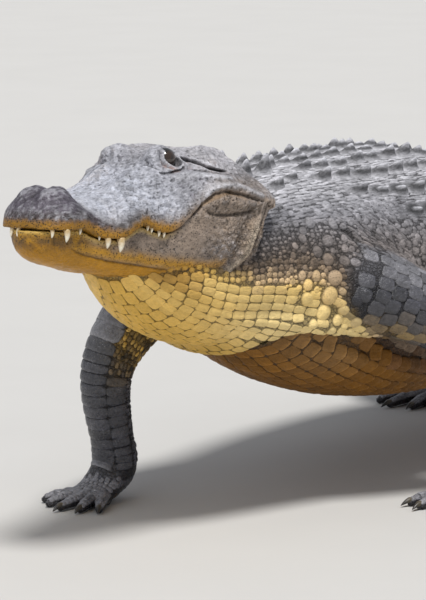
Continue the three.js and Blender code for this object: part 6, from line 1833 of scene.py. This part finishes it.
# painted shade in the hollows of the head and painted highlights, partly dust, on its proud ridges; the hide between
# the scales is dark
deep = hollows(P, T, N, 2) / 0.00032 + hollows(P, T, N, 9) / 0.0011
on_head = (owner == 1).astype(float)
a, _, z = head_coords(P)
rim = bump(z, lipZ(a) - 0.002, 0.005) * (1 - smooth(a, 0.18, 0.2))
col = col * (1 - on_head * 0.44 * (1 - rim) * smooth(deep, 0.15, 2.2))[:, None]
col = mix(col, np.tile(DUST_AND_SHEEN, (len(P), 1)), on_head * 0.42 * smooth(-deep, 0.3, 2.2) * smooth(col[:, 0] - col[:, 2], 0.16, 0.02))
col = col * (on_head + (1 - on_head) * 0.5)[:, None]
skin = make_object("skin", P, T, HIDE, dict(mark=col, spot=spot, gloss=gloss, grain=grain), face_uv(P, T, owner))
flesh = ["head_upper", "lower_jaw", "neck", "trunk", "tail_base", "tail_middle", "tail_rear", "tail_tip"] + [n for l in LIMBS.values() for n in l["names"]]
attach(skin, "root")
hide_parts(*flesh)

faces_in_coat = 0
for name, (scales, owners) in lay_scales().items():
    made = scales.build(owners)
    if made is None or not made["count"]:
        continue
    faces_in_coat += len(made["F"])
    o = make_object(name, made["P"], made["F"], PALE_HORN if name in ("scales_throat", "scutes_belly", "scales_cheek", "scales_armpit") else DARK_HORN if owners[0] >= 2 and name.startswith("scales") else HORNY, dict(mark=made["col"], spot=made["spot"], gloss=made["gloss"], grain=made["grain"]), made["uv"])
    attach(o, "root")
    print("coat", name, made["count"], len(made["F"]))
print("coat faces", faces_in_coat, "skin faces", len(T))


# ---------------------------------------------------------------- eyes
def eyeball(name, side, node):
    """A ball with a low bulge of the cornea, an iris and an upright slit."""
    r = EYE["r"] * HEAD_SCALE
    c = head_point(EYE["a"], side * EYE["b"], EYE["z"])
    look = unit(side * LEFT + 0.25 * FWD + 0.12 * UP)
    across = unit(np.cross(UP, look))
    up = np.cross(look, across)
    nt, npnt = 40, 48
    th = np.linspace(0, np.pi, nt + 1)[1:-1]
    ph = np.arange(npnt) / npnt * TAU
    A, B = np.meshgrid(th, ph, indexing="ij")
    d = np.concatenate([[[1.0, 0, 0]], np.stack([np.cos(A), np.sin(A) * np.cos(B), np.sin(A) * np.sin(B)], -1).reshape(-1, 3), [[-1.0, 0, 0]]])
    swell = r * (0.985 + 0.015 * smooth(d[:, 0], 0.75, 1.0))
    P = c + swell[:, None] * (d[:, :1] * look + d[:, 1:2] * across + d[:, 2:] * up)
    F = []
    for j in range(npnt):
        F.append([0, 1 + j, 1 + (j + 1) % npnt])
        for i in range(nt - 2):
            a, b = 1 + i * npnt + j, 1 + i * npnt + (j + 1) % npnt
            F += [[a, a + npnt, b + npnt], [a, b + npnt, b]]
        l = 1 + (nt - 2) * npnt
        F.append([l + j, len(P) - 1, l + (j + 1) % npnt])
    ang = np.arccos(np.clip(d[:, 0], -1, 1)) / np.pi * 2
    slit = np.hypot(d[:, 1] / 0.16, d[:, 2] / 0.62)
    o = make_object(name, P, F, EYE_MAT, dict(look=ang, slit=slit))
    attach(o, "root")
    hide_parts(node)
    return o


eyeball("eyeball_left", 1, "eye_left")
eyeball("eyeball_right", -1, "eye_right")


# ---------------------------------------------------------------- teeth and claws
def cones(list_of, around=14, steps=9):
    """Closed curved cones joined in one mesh: each with a line of centres, radii and two axes across it."""
    PP, FF, AA, base = [], [], [], 0
    for centres, radii, x, y in list_of:
        q = np.arange(around) / around * TAU
        ring = centres[:-1, None] + radii[:-1, None, None] * (np.cos(q)[None, :, None] * x + np.sin(q)[None, :, None] * y)
        m = len(centres) - 1
        V_ = np.concatenate([centres[:1], ring.reshape(-1, 3), centres[-1:]])
        F = []
        for j in range(around):
            a, b = 1 + j, 1 + (j + 1) % around
            F.append([0, b, a])
            for i in range(m - 1):
                p, q_ = 1 + i * around + j, 1 + i * around + (j + 1) % around
                F += [[p, q_, q_ + around], [p, q_ + around, p + around]]
            l = 1 + (m - 1) * around
            F.append([l + j, l + (j + 1) % around, len(V_) - 1])
        FF.append(np.array(F) + base)
        AA.append(np.concatenate([[0], np.repeat(np.linspace(0, 1, m + 1)[:-1], around), [1]]))
        PP.append(V_)
        base += len(V_)
    return np.concatenate(PP), np.concatenate(FF), np.concatenate(AA)


def outward(P, F):
    """Turns the faces to look outwards."""
    v = np.einsum("ij,ij->i", P[F[:, 0]] - P.mean(0), np.cross(P[F[:, 1]] - P.mean(0), P[F[:, 2]] - P.mean(0))).sum()
    return F if v > 0 else F[:, ::-1]


parts = []
for side in (1, -1):
    for a, length, root, only in TEETH:
        if only and only != side:
            continue
        w = float(skullW(a))
        out = float(skullW(a + 0.002) - skullW(a - 0.002)) / 0.004
        k = 1 / math.hypot(1, out)
        aa, bb = a + 0.0052 * out * k * 0.8, w - 0.0052 * k
        t = np.linspace(0, 1, 10)
        z = float(lipZ(a)) + 0.003 - (length + 0.003) * t
        # teeth lean forward and bow a little outwards
        ca = aa + 0.0015 - 0.1 * length * t - 0.12 * length * t * t
        cb = bb + 0.16 * length * np.sin(np.pi * t * 0.7)
        centres = head_point(ca, side * cb, z)
        rad = root * HEAD_SCALE * (1 - t**1.7) ** 0.75
        rad[0] *= 0.96
        parts.append((centres, rad, LEFT[None], FWD[None]))
tp, tf, ta = cones(parts)
teeth = make_object("teeth", tp, outward(tp, tf), TOOTH, dict(along=ta))
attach(teeth, "root")

parts, claw_nodes = [], []
for limb in LIMBS.values():
    i = 0
    for g in limb["digits"]:
        if not g["clawed"]:
            continue
        i += 1
        claw_nodes.append("claw_%s_%d" % (limb["names"][2], i))
        length, rr = (0.017 if limb["fore"] else 0.021), 0.0052
        t = np.linspace(-0.25, 1, 12)
        c = g["root"] + np.outer(g["full"] - 0.001 + length * t, g["dir"])
        tt = np.maximum(t, 0)
        c[:, 2] = g["r1"] * 0.95 + 0.003 - 0.0065 * 1.12 * tt**1.6
        rad = rr * 0.86 * (1 - tt**1.3) ** 0.7 * np.where(t < 0, 0.9, 1)
        side_ = V(-g["dir"][1], g["dir"][0], 0)
        parts.append((c, rad, side_[None], V(0, 0, 1)[None]))
cp, cf, ca_ = cones(parts)
cp[:, 2] = np.maximum(cp[:, 2], 0.0003)
claws = make_object("claws", cp, outward(cp, cf), CLAW, dict(along=ca_))
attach(claws, "root")
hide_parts(*claw_nodes)


# ---------------------------------------------------------------- floor, light and camera
def stage_material():
    mat, nt, bsdf = nodes_of("floor_pale")
    t = Net(nt)
    where = t.new("ShaderNodeTexCoord").outputs["Object"]
    n = t.noise(where, 3.0, 3.0)
    t.put(bsdf, "Base_Color", t.mix((0.56, 0.55, 0.53), (0.6, 0.59, 0.57), n))
    bsdf.inputs["Roughness"].default_value = 0.8
    return mat


me = bpy.data.meshes.new("floor")
me.from_pydata([(-14, -14, 0), (14, -14, 0), (14, 14, 0), (-14, 14, 0)], [], [(0, 1, 2, 3)])
floor = bpy.data.objects.new("floor", me)
bpy.context.scene.collection.objects.link(floor)
me.materials.append(stage_material())

bpy.context.scene.view_settings.view_transform = "Standard"
world = bpy.data.worlds.new("studio")
bpy.context.scene.world = world
world.use_nodes = True
world.node_tree.nodes["Background"].inputs["Color"].default_value = (0.88, 0.92, 1.0, 1)
world.node_tree.nodes["Background"].inputs["Strength"].default_value = 0.42

from mathutils import Vector


def sun(name, towards, power, spread, colour):
    data = bpy.data.lights.new(name, "SUN")
    data.energy = power
    data.angle = math.radians(spread)
    data.color = colour
    o = bpy.data.objects.new(name, data)
    bpy.context.scene.collection.objects.link(o)
    o.rotation_euler = Vector(towards).to_track_quat("-Z", "Y").to_euler()


sun("key", (0.36, 0.3, -1.0), 3.1, 13, (1.0, 0.985, 0.96))
sun("fill", (0.9, 0.1, -0.35), 0.3, 40, (1.0, 0.97, 0.92))

cam_data = bpy.data.cameras.new("camera")
cam = bpy.data.objects.new("camera", cam_data)
bpy.context.scene.collection.objects.link(cam)
bpy.context.scene.camera = cam
aim = Vector((-0.918244, 0.06495, 0.31))
back = Vector((-0.8387, -0.5241, 0.1478))
cam.location = aim + back * 5.0
cam.rotation_euler = (-back).to_track_quat("-Z", "Y").to_euler()
cam_data.sensor_width = 36
cam_data.lens = 204
cam_data.clip_start, cam_data.clip_end = 0.1, 60
